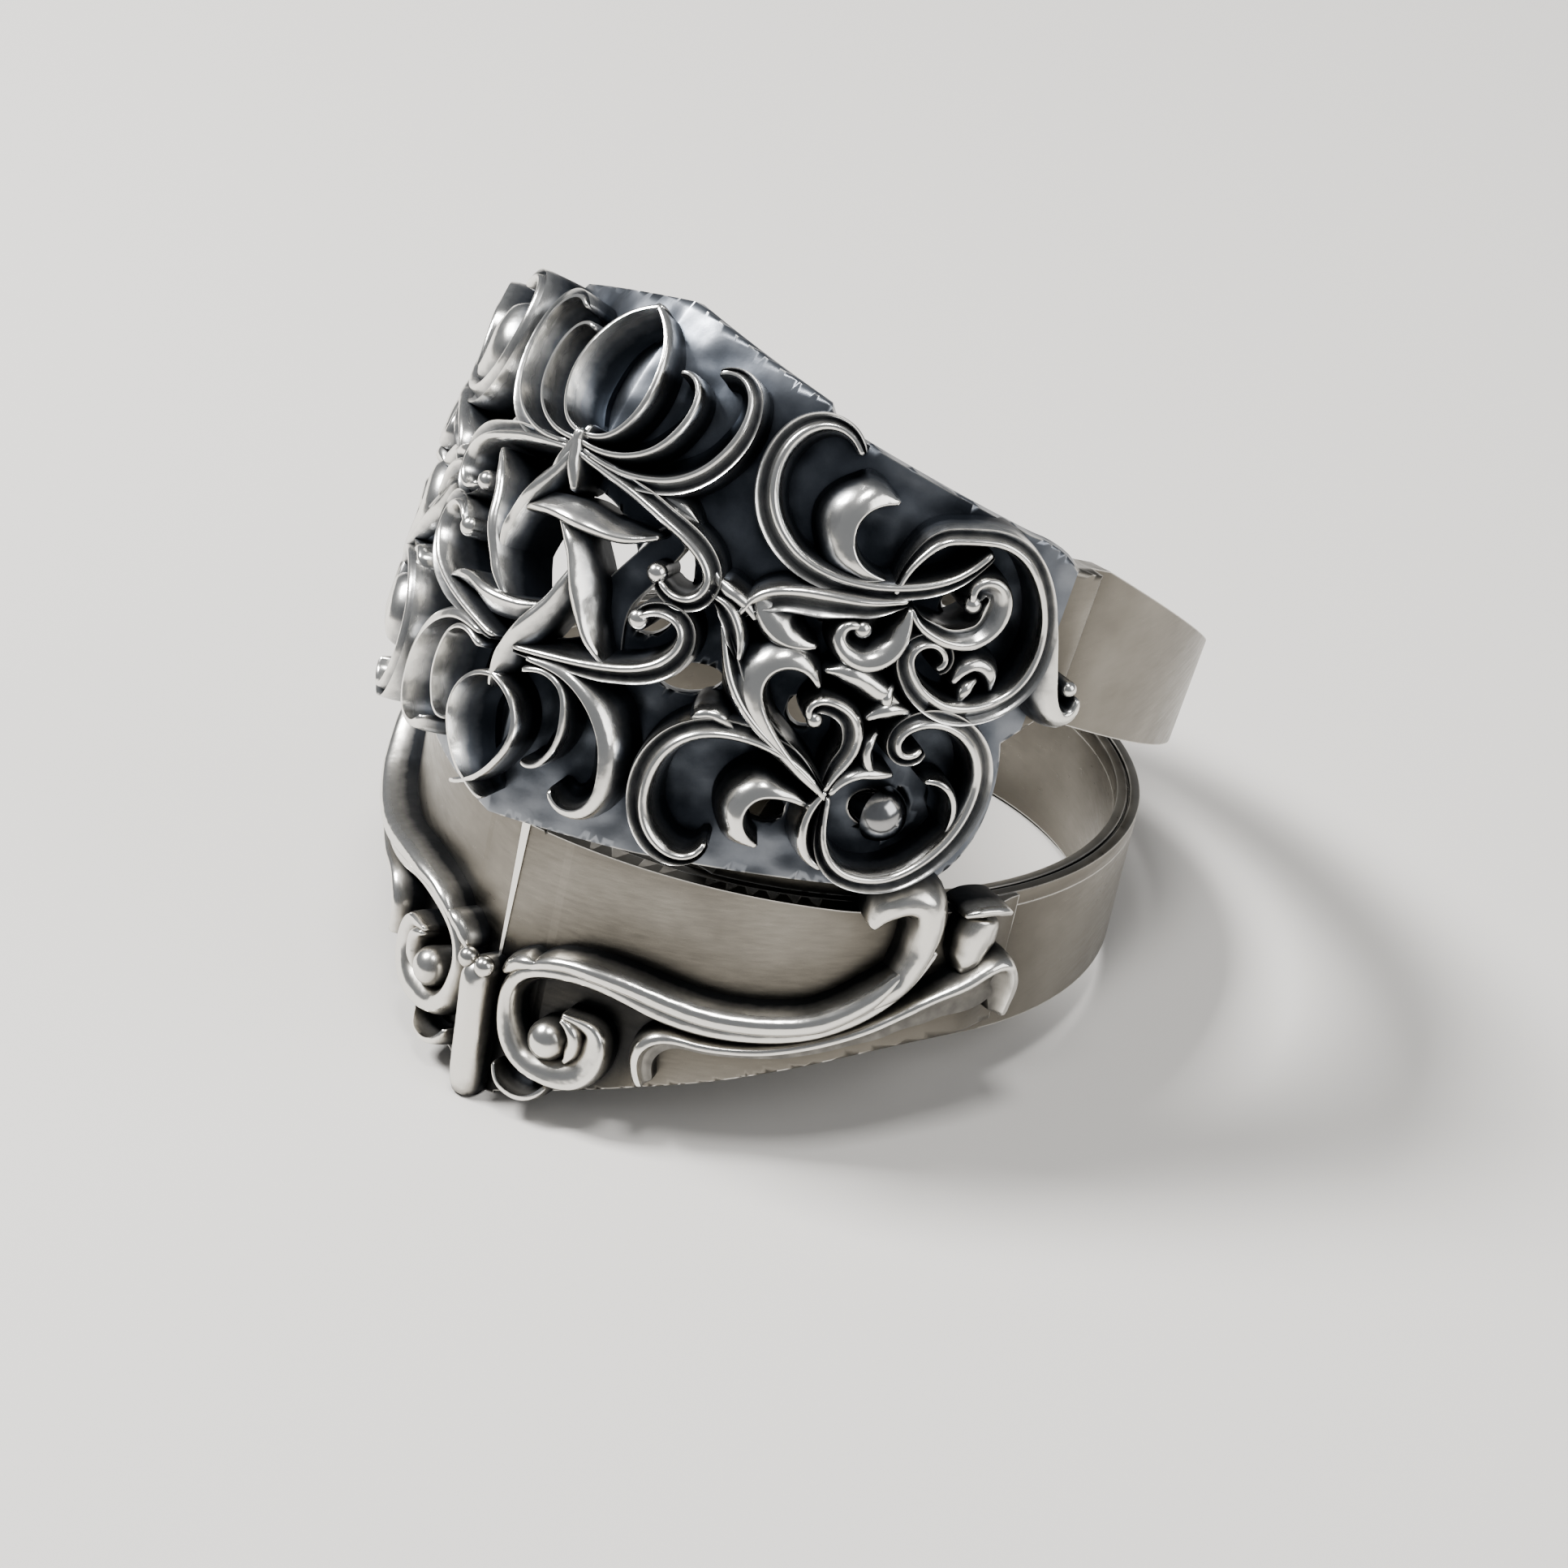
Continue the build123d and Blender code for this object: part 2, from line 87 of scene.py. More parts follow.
# How high the relief stands and how deep it is rooted
full_angle = 62.0  # angle from which the shield's stands no higher than at its keel
fullness_fade = 0.6  # share of the height over which that fades out at the top
tail_angles = (64.0, 68.0)  # from where to where its root deepens, over the band
keel_round = 0.035  # radians over which a crest bends across the keel
keel_sharp = 0.003  # and over which the wall itself does

# Visible walls, under the faces of the solid model
shield_sink = 0.25
plate_sink = 0.12
band_clearance = 0.02  # from the band's face to what is cut away outside it
round_walls = (bore_radius, bore_radius + lug_wall, bore_radius + band_wall,
               bore_radius + band_wall + plate_wall)
round_tolerance = 0.02  # how near such a wall a corner of a face on it lies
shield_tolerance = 0.15  # and how near the inside of the shield
facing_limit = 0.9
sharp_casting = 30.0  # angles from which an edge is drawn sharp
sharp_relief = 55.0

# Rooms of the flat relief: half angle, bottom, top, and reach over the solid model's face
SHIELD_ROOM = (90.0, shield_bottom - 1.5, shield_bottom + shield_height + 2.0, 1.7)
PLATE_ROOM = (88.0, -7.0, 7.0, 4.0)
room_rows, room_columns = 61, 181
room_gather = 1.6  # power that gathers columns at the keel

# Colour of the lower plate made darker low down and near its keel, round its volutes, in its chart
darkening_top = 0.2
darkening_side = 5.2
darkening_fade = 0.9
darkening_depth = 0.42

# Camera: the photograph's angle, fitted to the rings' edges
view_azimuth = 44.01
view_elevation = 35.25
view_roll = 1.04
view_distance = 150.0
focal_pixels = 5867.0
frame_pixels = 1932.0
aim_pixel = (949.0, 1066.5)  # where the lower ring's origin lies in the photograph
sensor_width = 36.0
near_clip = 5.0

# Lights: azimuth and elevation, distance and size, and watts
LIGHTS = {"key": (-62, 52, 260, 70, 2.0), "fill": (108, 30, 300, 200, 0.5), "top": (60, 80, 260, 60, 0.5)}
light_aim = 10.0  # height of the point that the lights face
sky_colour, sky_strength = (0.80, 0.84, 0.90, 1), 0.28
floor_colour, floor_roughness, floor_reach = (0.56, 0.54, 0.51, 1), 0.8, 600.0


def leaned(vectors, lean):
    """Vectors turned about X by an angle in radians."""
    v = np.asarray(vectors, float).reshape(-1, 3)
    c, s = cos(lean), sin(lean)
    return np.stack([v[:, 0], v[:, 1] * c + v[:, 2] * s, v[:, 2] * c - v[:, 1] * s], 1)


class Ring:
    """A ring's own frame, with its body and its material slot.

    Directions are turned and places moved into it from the row frame, or out of it."""

    def __init__(self, lean, hinge_line, body, slot):
        self.lean = radians(lean)
        self.hinge_line = np.array((0.0, *hinge_line))
        self.hinge = np.array(frame["record"]["behaviour"]["joints"][0]["pos_m"])
        self.body, self.slot = body, slot

    def turned_in(self, vectors):
        return leaned(vectors, -self.lean)

    def turned_out(self, vectors):
        return leaned(vectors, self.lean)

    def local(self, points):
        return self.turned_in((np.asarray(points, float) - self.hinge) / MM) + self.hinge_line

    def world(self, points):
        return self.turned_out(np.asarray(points, float) - self.hinge_line) * MM + self.hinge


foot_y = -(bore_radius + band_wall + plate_wall + plate_keel_rise + bar_foot_rise)
rest_lean = atan2(lower_edge_back + plate_drop, bore_radius + band_wall - foot_y) * 180 / pi
lower = Ring(rest_lean, hinge_lower, "lower", "silver")
upper = Ring(rest_lean + splay_angle, hinge_upper, "upper", "dark_silver")


def bearing(azimuth, elevation):
    """Direction out from the object, in the row frame."""
    a, e = radians(azimuth), radians(elevation)
    return np.array((sin(a) * cos(e), -cos(a) * cos(e), sin(e)))


def polar(points):
    """Angles from the front and distances from the axis."""
    return np.arctan2(points[:, 0], -points[:, 1]), np.hypot(points[:, 0], points[:, 1])


class Face(SimpleNamespace):
    """Keeled outer face of a ring. A place on it is an angle from the front, a height and an offset."""

    def reach(self, angle, z, offset, bend=keel_round):
        """Distance of the face from the axis."""
        angle = np.sqrt(np.asarray(angle, float) ** 2 + bend ** 2)
        share = np.clip((np.asarray(z, float) - self.bottom) / self.height, -0.05, 1.05)
        keel = self.keel * np.polyval(self.keel_curve, share)
        side_x, side_y = self.side_radius * sin(self.side_angle), -self.side_radius * cos(self.side_angle)
        chord = np.hypot(side_x, side_y + keel)
        along_x, along_y = side_x / chord, (side_y + keel) / chord
        radius = (chord ** 2 / 4 + self.bow ** 2) / (2 * self.bow)
        centre_x = along_x * chord / 2 + along_y * (self.bow - radius)
        centre_y = -keel + along_y * chord / 2 - along_x * (self.bow - radius)
        dot = np.sin(angle) * centre_x - np.cos(angle) * centre_y
        inside = dot ** 2 - centre_x ** 2 - centre_y ** 2 + (radius + offset) ** 2
        front = dot + np.sqrt(np.maximum(inside, 0))
        return np.where(angle < self.side_angle, front, self.side_radius + offset)

    def point(self, angle, z, offset):
        r = self.reach(angle, z, offset)
        return np.stack([r * np.sin(angle), -r * np.cos(angle), np.broadcast_to(z, r.shape)], -1)

    def normal(self, angle, z, offset):
        step = 0.01
        across = self.point(angle + step, z, offset) - self.point(angle - step, z, offset)
        up = self.point(angle, z + step, offset) - self.point(angle, z - step, offset)
        n = np.cross(across, up)
        return n / np.linalg.norm(n, axis=-1, keepdims=True)

    def meet(self, start, direction, near, far, offset, bend=keel_round):
        """Where lines come from outside, at far, and meet the face before near."""
        near, far = (np.full(len(start), float(v)) for v in (near, far))
        for _ in range(halvings):
            middle = (near + far) / 2
            points = start + direction * middle[:, None]
            angle, reach = polar(points)
            out = reach - self.reach(angle, points[:, 2], offset, bend) > 0
            far = np.where(out, middle, far)
            near = np.where(out, near, middle)
        return start + direction * near[:, None]

    def from_chart(self, chart, heights):
        """Angles and heights of charted crests, which stand the given heights over the wall."""
        chart = np.asarray(chart, float)
        across = np.array((cos(self.view), sin(self.view), 0))
        toward = np.array((sin(self.view), -cos(self.view), 0))
        place = chart[:, 0] * self.width - self.keel * sin(self.view)
        start = place[:, None] * across
        start[:, 2] = self.bottom + self.height * chart[:, 1]
        points = self.meet(start, toward, 0, chart_far, self.chart_offset, keel_sharp)
        back = self.ring.turned_in(bearing(view_azimuth, view_elevation))[0]
        heights = heights + self.extra(polar(points)[0], points[:, 2])
        points = self.meet(points, back, -shift_far, shift_far, heights)
        return np.stack([polar(points)[0], points[:, 2]], 1)

    def extra(self, angle, z):
        """How much higher the relief stands at an angle from the front and a height."""
        fade = np.clip((1 - (z - self.bottom) / self.height) / fullness_fade, 0, 1)
        return self.fullness * fade * np.sin(pi * np.minimum(np.abs(angle) / radians(full_angle), 1))

    def angle_at(self, distance, z):
        """Angles of places that lie a signed distance from the keel along the face."""
        angles = np.linspace(0, unrolled_reach, unrolled_steps)
        points = self.point(angles, np.full(unrolled_steps, z), self.chart_offset)
        length = np.concatenate([[0], np.cumsum(np.linalg.norm(np.diff(points, axis=0), axis=1))])
        return np.sign(distance) * np.interp(np.abs(distance), length, angles)


# Each face is bowed from its keel to the side angle, and round beyond. Its ornament is charted in a
# plane that faces the view angle, as it looks at the offset over the wall. The relief stands higher
# by the fullness halfway between keel and side, and is rooted a foot deep, and by tail_foot deeper
# over the band. The wall has its sink, the angles where it begins and ends to thin, and by how much.
shield = Face(
    ring=upper, keel=14.3, keel_curve=np.polyfit(*zip(*keel_rows), len(keel_rows) - 1),
    side_radius=shield_radius, side_angle=radians(55.5), bow=1.1, bottom=shield_bottom,
    height=shield_height, view=radians(36), width=12.2, chart_offset=1.0, fullness=0.65, foot=0.66,
    tail_foot=0.4, wall=(shield_sink, 70.5, 77.0,
                         shield_radius - shield_sink - bore_radius - band_wall - band_clearance))
plate_radius = bore_radius + band_wall + plate_wall
plate = Face(
    ring=lower, keel=plate_radius + plate_keel_rise, keel_curve=(1.0,), side_radius=plate_radius,
    side_angle=radians(50), bow=0.85, bottom=0.0, height=1.0, view=radians(42), width=1.0,
    chart_offset=0.7, fullness=0.0, foot=0.6, tail_foot=0.0, wall=(plate_sink, 72.0, 80.5, 0.45))

# Sides of a rib, in hundredths: pairs of shares of its width, out from the crest, and its height
SIDES = {
    "steep": (30, 95, 62, 72, 86, 32, 100, 0),
    "bowl": (7, 80, 18, 52, 34, 28, 58, 11, 83, 3, 100, 0),
    "blade": (25, 90, 60, 76, 95, 60, 100, 0),
    "edge": (60, 96, 100, 88, 100, 0),
    "trough": (6, 88, 18, 70, 36, 56, 60, 50, 94, 48, 100, 0),
    "dome": (14, 99, 32, 95, 52, 84, 72, 66, 88, 40, 100, 0),
    "flute": (12, 95, 28, 84, 44, 79, 58, 84, 70, 93, 81, 95, 92, 74, 100, 0),
}
crest_half = 0.05  # half width of a crest
crest_bulge = 1.01  # height of its middle, as a share of the rib's
smoothings = 4  # how often a rib's line is evened out
rib_step = 0.10  # distance between sections along a rib
least_sections = 8
end_sections = (0.02, 0.05, 0.09)  # distances of further sections from each end
end_round = 0.16  # length over which a rib is rounded off at its ends
end_low = 0.7  # share of its height that it has at its very end
developed = 12.5  # radius on which a face is unrolled to smooth a line

# Ribs of the shield's right half, each drawn through its crest: places across and up in the chart,
# then shape and widths of its left side and of its right side, then its heights, evenly spaced.
# Widths and heights are in hundredths of a millimetre.
chart_unit = (1000, 100)  # parts of the chart, on the shield and on the plate
SHIELD_RIBS = {
    "crown_loop": ((-45, 735, 30, 745, 80, 790, 100, 840, 104, 890, 96, 930, 75, 962, 40, 985),
        "bowl", (20, 40, 45, 35, 20), "steep", (12, 16, 18, 16, 14), (100, 120, 110)),
    "crown_petal": ((-30, 725, 40, 720, 90, 728, 150, 755, 190, 800, 208, 850, 200, 885, 172, 900,
        148, 895), "bowl", (20, 40, 50, 40, 15), "steep", (12, 18, 20, 18, 12), (105, 115, 105)),
    "crown_leaf": ((-10, 712, 80, 700, 155, 705, 215, 720, 262, 745, 298, 780, 322, 820, 333, 865,
        325, 900, 302, 922, 270, 928, 235, 918), "bowl", (20, 40, 55, 50, 40, 15),
        "flute", (12, 40, 50, 50, 40, 12), (105, 110, 100)),
    "upper_wave": ((-20, 705, 90, 685, 160, 670, 230, 650, 295, 630, 345, 605, 372, 575, 365, 545,
        335, 528, 295, 530, 262, 548), "flute", (15, 30, 45, 50, 40, 25),
        "steep", (12, 20, 22, 22, 20, 18), (105, 110, 100)),
    "lower_wave": ((-20, 335, 50, 342, 120, 350, 200, 362, 280, 382, 335, 412, 358, 450, 345, 480,
        305, 492, 270, 487, 245, 468), "steep", (12, 20, 22, 22, 20, 18),
        "flute", (15, 30, 45, 55, 45, 25), (105, 110, 100)),
    "tail_loop": ((-60, 275, -10, 262, 35, 225, 50, 170, 30, 120, -10, 75, -70, 40),
        "steep", (12, 16, 18, 16, 12), "bowl", (20, 40, 45, 40, 20), (100, 120, 110)),
    "tail_petal": ((20, 300, 80, 315, 125, 300, 150, 260, 158, 200, 140, 160, 115, 140, 85, 142),
        "steep", (12, 18, 20, 18, 12), "bowl", (20, 35, 45, 40, 15), (100, 110, 105)),
    "tail_leaf": ((20, 325, 120, 322, 200, 288, 255, 235, 280, 170, 278, 120, 245, 90, 205, 90, 175, 115),
        "dome", (12, 45, 70, 70, 50, 15), "bowl", (20, 35, 50, 50, 45, 15), (105, 115, 105)),
    "shoulder_scroll": ((615, 872, 590, 893, 550, 905, 505, 900, 468, 878, 443, 840, 440, 790, 460, 740,
        500, 700, 560, 670, 630, 657, 710, 657, 790, 670, 870, 695, 930, 730, 975, 780),
        "steep", (12, 25, 25, 20, 20, 14), "flute", (12, 50, 58, 50, 35, 14), (95, 110, 100, 100, 90)),
    "shoulder_leaf": ((735, 818, 700, 808, 665, 785, 650, 750, 660, 715, 700, 685, 770, 675),
        "steep", (8, 14, 14, 8), "dome", (12, 90, 115, 95, 50, 12), (70, 100, 95, 70)),
    "side_volute": ((790, 655, 800, 700, 825, 740, 860, 772, 915, 787, 980, 797, 1045, 785, 1095, 750,
        1128, 708, 1148, 663, 1153, 615, 1140, 567, 1105, 527, 1055, 500, 1000, 488, 945, 497, 895, 525,
        875, 565, 900, 588, 940, 585, 955, 562, 935, 548), "flute", (10, 40, 42, 42, 50, 55, 45, 20),
        "steep", (12, 20, 18, 12, 16, 22, 18, 12), (95, 110, 115, 110, 110, 110, 100)),
    "side_tail": ((1141, 730, 1168, 680, 1190, 630, 1212, 580, 1236, 535, 1262, 518, 1284, 535, 1278, 562),
        "dome", (10, 12, 18, 20, 25, 15), "dome", (10, 35, 62, 75, 50, 15), (80, 95, 95, 85)),
    "side_curl": ((835, 645, 860, 622, 900, 606, 950, 600, 1005, 612, 1040, 645, 1048, 685, 1030, 718,
        995, 728, 962, 708, 970, 680), "flute", (10, 40, 60, 75, 60, 30), "dome", (10, 25, 30, 30, 25, 18),
        (100, 115, 115, 105)),
    "middle_leaf": ((465, 535, 475, 560, 500, 585, 540, 602, 630, 618, 750, 632, 830, 655),
        "steep", (14, 25, 28, 15), "flute", (20, 65, 75, 50, 15), (90, 110, 110, 95)),
    "middle_body": ((485, 595, 505, 560, 540, 530, 600, 515, 665, 530), "dome", (20, 90, 110, 70, 15),
        "steep", (10, 30, 35, 30, 10), (80, 90, 90, 70)),
    "middle_curl": ((835, 645, 845, 600, 840, 560, 810, 528, 765, 517, 720, 530, 698, 560, 715, 583,
        745, 582), "dome", (12, 30, 35, 30, 22), "dome", (15, 60, 70, 60, 40, 20), (100, 115, 110, 100)),
    "branch": ((385, 555, 430, 548, 470, 520, 490, 490, 500, 455), "steep", (10, 25, 25, 10),
        "flute", (10, 45, 45, 10), (90, 100, 90)),
    "branch_leaf": ((375, 600, 400, 578, 450, 566, 510, 535), "dome", (8, 35, 35, 8),
        "dome", (8, 30, 25, 8), (80, 100, 80)),
    "fleuron": ((700, 455, 660, 478, 610, 478, 575, 455, 568, 420, 600, 375, 680, 320, 790, 270),
        "steep", (8, 20, 22, 18, 10), "dome", (12, 85, 105, 65, 30, 10), (85, 110, 105, 100, 90)),
    "leaf_stem": ((435, 515, 455, 480, 480, 440, 530, 390, 610, 345, 700, 310, 790, 270),
        "flute", (12, 40, 50, 40, 10), "steep", (10, 25, 25, 10), (80, 100, 100, 95)),
    "heart_curl": ((705, 395, 690, 412, 705, 432, 750, 438, 790, 428, 818, 400, 822, 360, 800, 315,
        785, 275), "steep", (20, 25, 25, 20, 10), "flute", (20, 40, 50, 45, 15), (95, 105, 100, 90)),
    "heart_stem": ((820, 425, 860, 452, 920, 462), "dome", (15, 40, 15), "dome", (15, 40, 15),
        (85, 100, 85)),
    "small_leaves": ((690, 490, 750, 496, 820, 486, 890, 470), "dome", (10, 55, 45, 10),
        "dome", (10, 45, 55, 10), (75, 105, 100, 80)),
    "small_leaf": ((860, 505, 850, 480, 870, 450), "dome", (12, 35, 12), "dome", (12, 35, 12),
        (85, 100, 85)),
    "volute_leaf": ((1075, 535, 1060, 565, 1030, 575, 1000, 560, 985, 530), "steep", (8, 20, 20, 12),
        "dome", (8, 45, 45, 12), (70, 95, 95, 85)),
    "volute_twig": ((1015, 500, 1020, 530, 1040, 555), "dome", (12, 30, 10), "dome", (12, 30, 10),
        (80, 90, 75)),
    "lower_scroll": ((565, 125, 550, 95, 510, 80, 455, 90, 410, 125, 390, 170, 390, 220, 410, 265,
        460, 305, 560, 328, 660, 322, 740, 298, 800, 262), "flute", (12, 45, 55, 50, 40, 12),
        "steep", (12, 30, 30, 25, 20, 12), (95, 110, 105, 100, 95)),
    "scroll_leaf": ((440, 318, 455, 345, 500, 352, 545, 335), "dome", (8, 25, 30, 8),
        "dome", (8, 30, 30, 10), (70, 95, 95, 80)),
    "lower_leaf": ((685, 145, 650, 155, 625, 178, 625, 210, 650, 237, 700, 250, 765, 245),
        "dome", (12, 70, 85, 80, 40, 12), "steep", (8, 15, 15, 8), (70, 100, 100, 75)),
    "ring_left": ((795, 285, 772, 240, 775, 190, 800, 155, 845, 140), "steep", (12, 22, 22, 12),
        "dome", (12, 22, 30, 12), (90, 100, 95)),
    "rivet_scroll": ((800, 275, 812, 220, 840, 170, 885, 145, 950, 143, 1010, 162, 1060, 200, 1100, 250,
        1122, 310, 1120, 370, 1090, 420, 1040, 447, 985, 452, 935, 435, 912, 405, 925, 382, 957, 385,
        970, 405), "steep", (12, 20, 20, 20, 20, 15), "flute", (12, 40, 50, 50, 50, 25),
        (100, 110, 115, 110, 105, 95)),
    "ring_top": ((800, 272, 815, 300, 850, 325, 895, 335, 930, 345), "dome", (12, 30, 35, 10),
        "steep", (10, 20, 20, 10), (95, 100, 90, 75)),
    "ring_spur": ((860, 415, 850, 385, 858, 350, 885, 335), "dome", (8, 20, 30, 12),
        "steep", (8, 20, 20, 10), (75, 95, 95, 80)),
    "tie": ((-35, 745, -28, 710, -15, 670, 5, 635), "dome", (10, 30, 30, 15), "dome", (10, 30, 30, 15),
        (120, 115, 95)),
    "wave_leaf": ((130, 684, 190, 686, 250, 684, 315, 660), "dome", (6, 25, 30, 8), "dome", (6, 15, 15, 6),
        (60, 80, 75, 50)),
    "ring_hook": ((1000, 345, 1030, 350, 1070, 335, 1090, 300, 1090, 260), "dome", (8, 20, 25, 10),
        "bowl", (8, 30, 40, 10), (75, 95, 95, 90)),
}

# Part of the right half's floor that lies lower, between the openings beside the pinwheel
WEB_RIBS = {
    "web": ((270, 640, 215, 560, 178, 500, 185, 420, 215, 340), "edge", (40, 50, 45, 40),
        "edge", (40, 40, 50, 50), (-35, -30, -30, -35)),
}

# Balls at the ends of the curls: across and up in the chart, radius and height
SHIELD_BALLS = {
    "upper_wave_end": (0.252, 0.556, 0.31, 1.0),
    "lower_wave_end": (0.246, 0.466, 0.33, 1.0),
    "tail_end": (1.258, 0.572, 0.24, 0.95),
    "heart_end": (0.712, 0.398, 0.24, 0.95),
    "middle_end": (0.748, 0.58, 0.28, 1.0),
    "side_end": (0.972, 0.678, 0.28, 1.05),
}

# One blade of the pinwheel, pointing up: from the centre along the face, then its sides and heights
PINWHEEL_BLADE = ((0.1, 4.1), (-0.05, 3.0), (-0.55, 2.05), (-1.1, 1.1), (-1.42, 0.2), (-1.5, -0.6))
PINWHEEL_TRAITS = ("edge", (0.04, 0.12, 0.14, 0.12, 0.05), "blade", (0.06, 0.4, 0.58, 0.48, 0.1),
                   (0.95, 1.15, 1.3, 1.15, 0.95))
pinwheel_blades = 6
pinwheel_share = 0.5  # its centre's height, as a share of the shield's

# Ribs and balls of the lower plate's right half, across and up in its chart
PLATE_RIBS = {
    "main_ridge": ((213, -134, 268, -138, 315, -149, 339, -190, 340, -256, 310, -318, 255, -350, 186, -355,
        113, -336, 64, -280, 42, -191, 46, -114, 80, -58, 135, -25, 212, -5, 319, 0, 478, -28, 610, -39,
        757, -27, 899, 5, 1015, 58, 1126, 138, 1208, 240, 1250, 330),
        "dome", (10, 25, 30, 30, 30, 35, 50, 50, 50, 50, 50, 40, 15),
        "dome", (15, 80, 80, 50, 32, 30, 30, 30, 30, 30, 30, 25, 12),
        (80, 90, 85, 80, 75, 72, 72, 75, 80)),
    "main_body": ((75, -55, 120, -12, 190, 14, 288, 24, 399, 20, 533, 4, 642, -2, 789, 12, 940, 50,
        1040, 105, 1115, 170, 1170, 250), "dome", (12, 30, 36, 40, 42, 42, 42, 42, 40, 20),
        "dome", (12, 30, 40, 42, 42, 42, 45, 50, 40, 10), (75, 90, 100, 100, 100, 100, 100, 100, 100, 90)),
    "leaf_fold": ((1090, 125, 1170, 205, 1208, 300, 1220, 390, 1195, 455, 1140, 462, 1090, 438, 1042, 380),
        "dome", (20, 40, 48, 55, 60, 45, 20), "dome", (20, 42, 50, 60, 78, 75, 30),
        (75, 100, 110, 120, 115, 90)),
    "second_scroll": ((485, -275, 458, -220, 462, -155, 515, -105, 599, -95, 705, -87, 848, -55, 960, -12,
        1065, 36, 1170, 98, 1277, 166, 1375, 220, 1435, 260, 1480, 265, 1505, 225, 1510, 160, 1498, 100),
        "dome", (25, 35, 22, 20, 20, 20, 22, 25, 30, 35, 22),
        "trough", (30, 45, 30, 28, 35, 42, 60, 85, 115, 90, 30),
        (70, 85, 80, 75, 75, 75, 80, 85, 95, 95, 70)),
    "third_leaf": ((1342, 250, 1366, 310, 1380, 370, 1384, 430), "dome", (25, 60, 78, 70),
        "dome", (25, 60, 75, 68), (55, 70, 75, 70)),
    "third_rim": ((1306, 438, 1340, 450, 1385, 456, 1430, 454, 1456, 445), "steep", (10, 14, 14, 10),
        "dome", (10, 25, 25, 10), (80, 90, 90, 80)),
    "crescent": ((45, -369, 62, -415, 100, -442, 145, -442, 185, -415, 212, -375),
        "bowl", (12, 35, 40, 35, 10), "dome", (10, 18, 20, 18, 10), (70, 85, 85, 65)),
    "collar": ((20, -85, 42, -50, 80, -25, 120, -12), "dome", (20, 30, 30, 15), "dome", (15, 30, 30, 15),
        (70, 80, 85, 80)),
    "ball_stem": ((210, -150, 250, -172, 268, -225, 245, -285), "dome", (10, 25, 25, 10),
        "dome", (10, 30, 35, 10), (85, 95, 90, 75)),
}
PLATE_BALLS = {
    "volute_ball": (1.72, -2.52, 0.64, 1.05),
}

# Upright bar: height, half width and how far it stands out from the keel, from its foot up
BAR_ROWS = ((-5.4, 0.28, 0.45), (-5.25, 0.42, 0.62), (-5.0, 0.50, 0.72), (-4.4, 0.52, 0.85),
            (-3.2, 0.50, 1.0), (-2.2, 0.47, 1.12), (-1.6, 0.47, 1.2), (-1.25, 0.48, 1.2),
            (-1.0, 0.46, 1.1), (-0.82, 0.36, 0.95), (-0.7, 0.16, 0.7))
bar_sides = 28
bar_power = 0.8  # below 1, its section is a rounded square
bar_sink = 0.4  # depth of its root under the keel
knob_radius = 0.33
knob_spread = 0.34  # distance of each knob from the middle
knob_rise = 0.85  # how far the middle of each knob stands out from the keel
knob_shine = 0.9  # how worn the knobs are, as a share of a crest's wear
knob_rows, dome_rows, round_sides = 12, 9, 22
dome_fall = 0.6  # how fast the wear of a ball falls off below its top

# Rim of the lower band: distance out from the bore, height over the rim
RIM_SECTION = ((0.0, -0.5), (0.0, -0.06), (0.02, -0.02), (0.06, 0.0), (0.31, 0.0), (0.33, -0.02),
               (0.34, -0.15), (0.42, -0.15), (0.43, -0.02), (0.45, 0.0), (0.69, 0.0), (0.73, -0.02),
               (0.75, -0.06), (0.75, -0.5))
RIM_ROOM = ((-0.5, -0.49), (-0.5, 0.01), (0.8, 0.01), (0.8, -0.49))
rim_columns = 360
strip_half = (0.16, 0.05)  # half width of the keel's strip, at the rim and at the bar
strip_proud = 0.02
strip_rows = 24


def smooth_line(points, step):
    """Places along a natural cubic spline through the points, step apart, closer at its ends."""
    p = np.asarray(points, float)
    t = np.concatenate([[0], np.cumsum(np.linalg.norm(np.diff(p, axis=0), axis=1))])
    gap = np.diff(t)
    count = len(p)
    matrix = np.eye(count)
    right = np.zeros_like(p)
    for i in range(1, count - 1):
        matrix[i, i - 1:i + 2] = gap[i - 1], 2 * (gap[i - 1] + gap[i]), gap[i]
        right[i] = 6 * ((p[i + 1] - p[i]) / gap[i] - (p[i] - p[i - 1]) / gap[i - 1])
    bend = np.linalg.solve(matrix, right)
    inner = np.linspace(0, t[-1], max(least_sections, int(t[-1] / step)))
    ends = np.array(end_sections)
    s = np.unique(np.concatenate([inner, ends, t[-1] - ends]))
    k = np.clip(np.searchsorted(t, s, side="right") - 1, 0, count - 2)
    d = (s - t[k])[:, None]
    h = gap[k][:, None]
    slope = (p[k + 1] - p[k]) / h - h * (2 * bend[k] + bend[k + 1]) / 6
    return p[k] + d * slope + d ** 2 * bend[k] / 2 + d ** 3 * (bend[k + 1] - bend[k]) / (6 * h), s


def eased(share):
    return share * share * (3 - 2 * share)


def spread(values, shares):
    """Evenly spaced values, eased from one to the next."""
    values = np.asarray(values, float)
    x = np.clip(shares, 0, 1) * (len(values) - 1)
    k = np.minimum(x.astype(int), len(values) - 2)
    ease = eased(x - k)
    return values[k] * (1 - ease) + values[k + 1] * ease


def quads(*corners):
    """Faces from arrays of their four corners."""
    return np.stack([corner.ravel() for corner in corners], 1).tolist()


def tube_faces(rows, sides):
    """Faces between neighbouring rows of points that each go round, and over both ends."""
    grid = np.arange(rows * sides).reshape(rows, sides)
    ahead = np.roll(grid, -1, 1)
    between = quads(grid[:-1], ahead[:-1], ahead[1:], grid[1:])
    return between + [grid[0, ::-1].tolist(), grid[-1].tolist()]


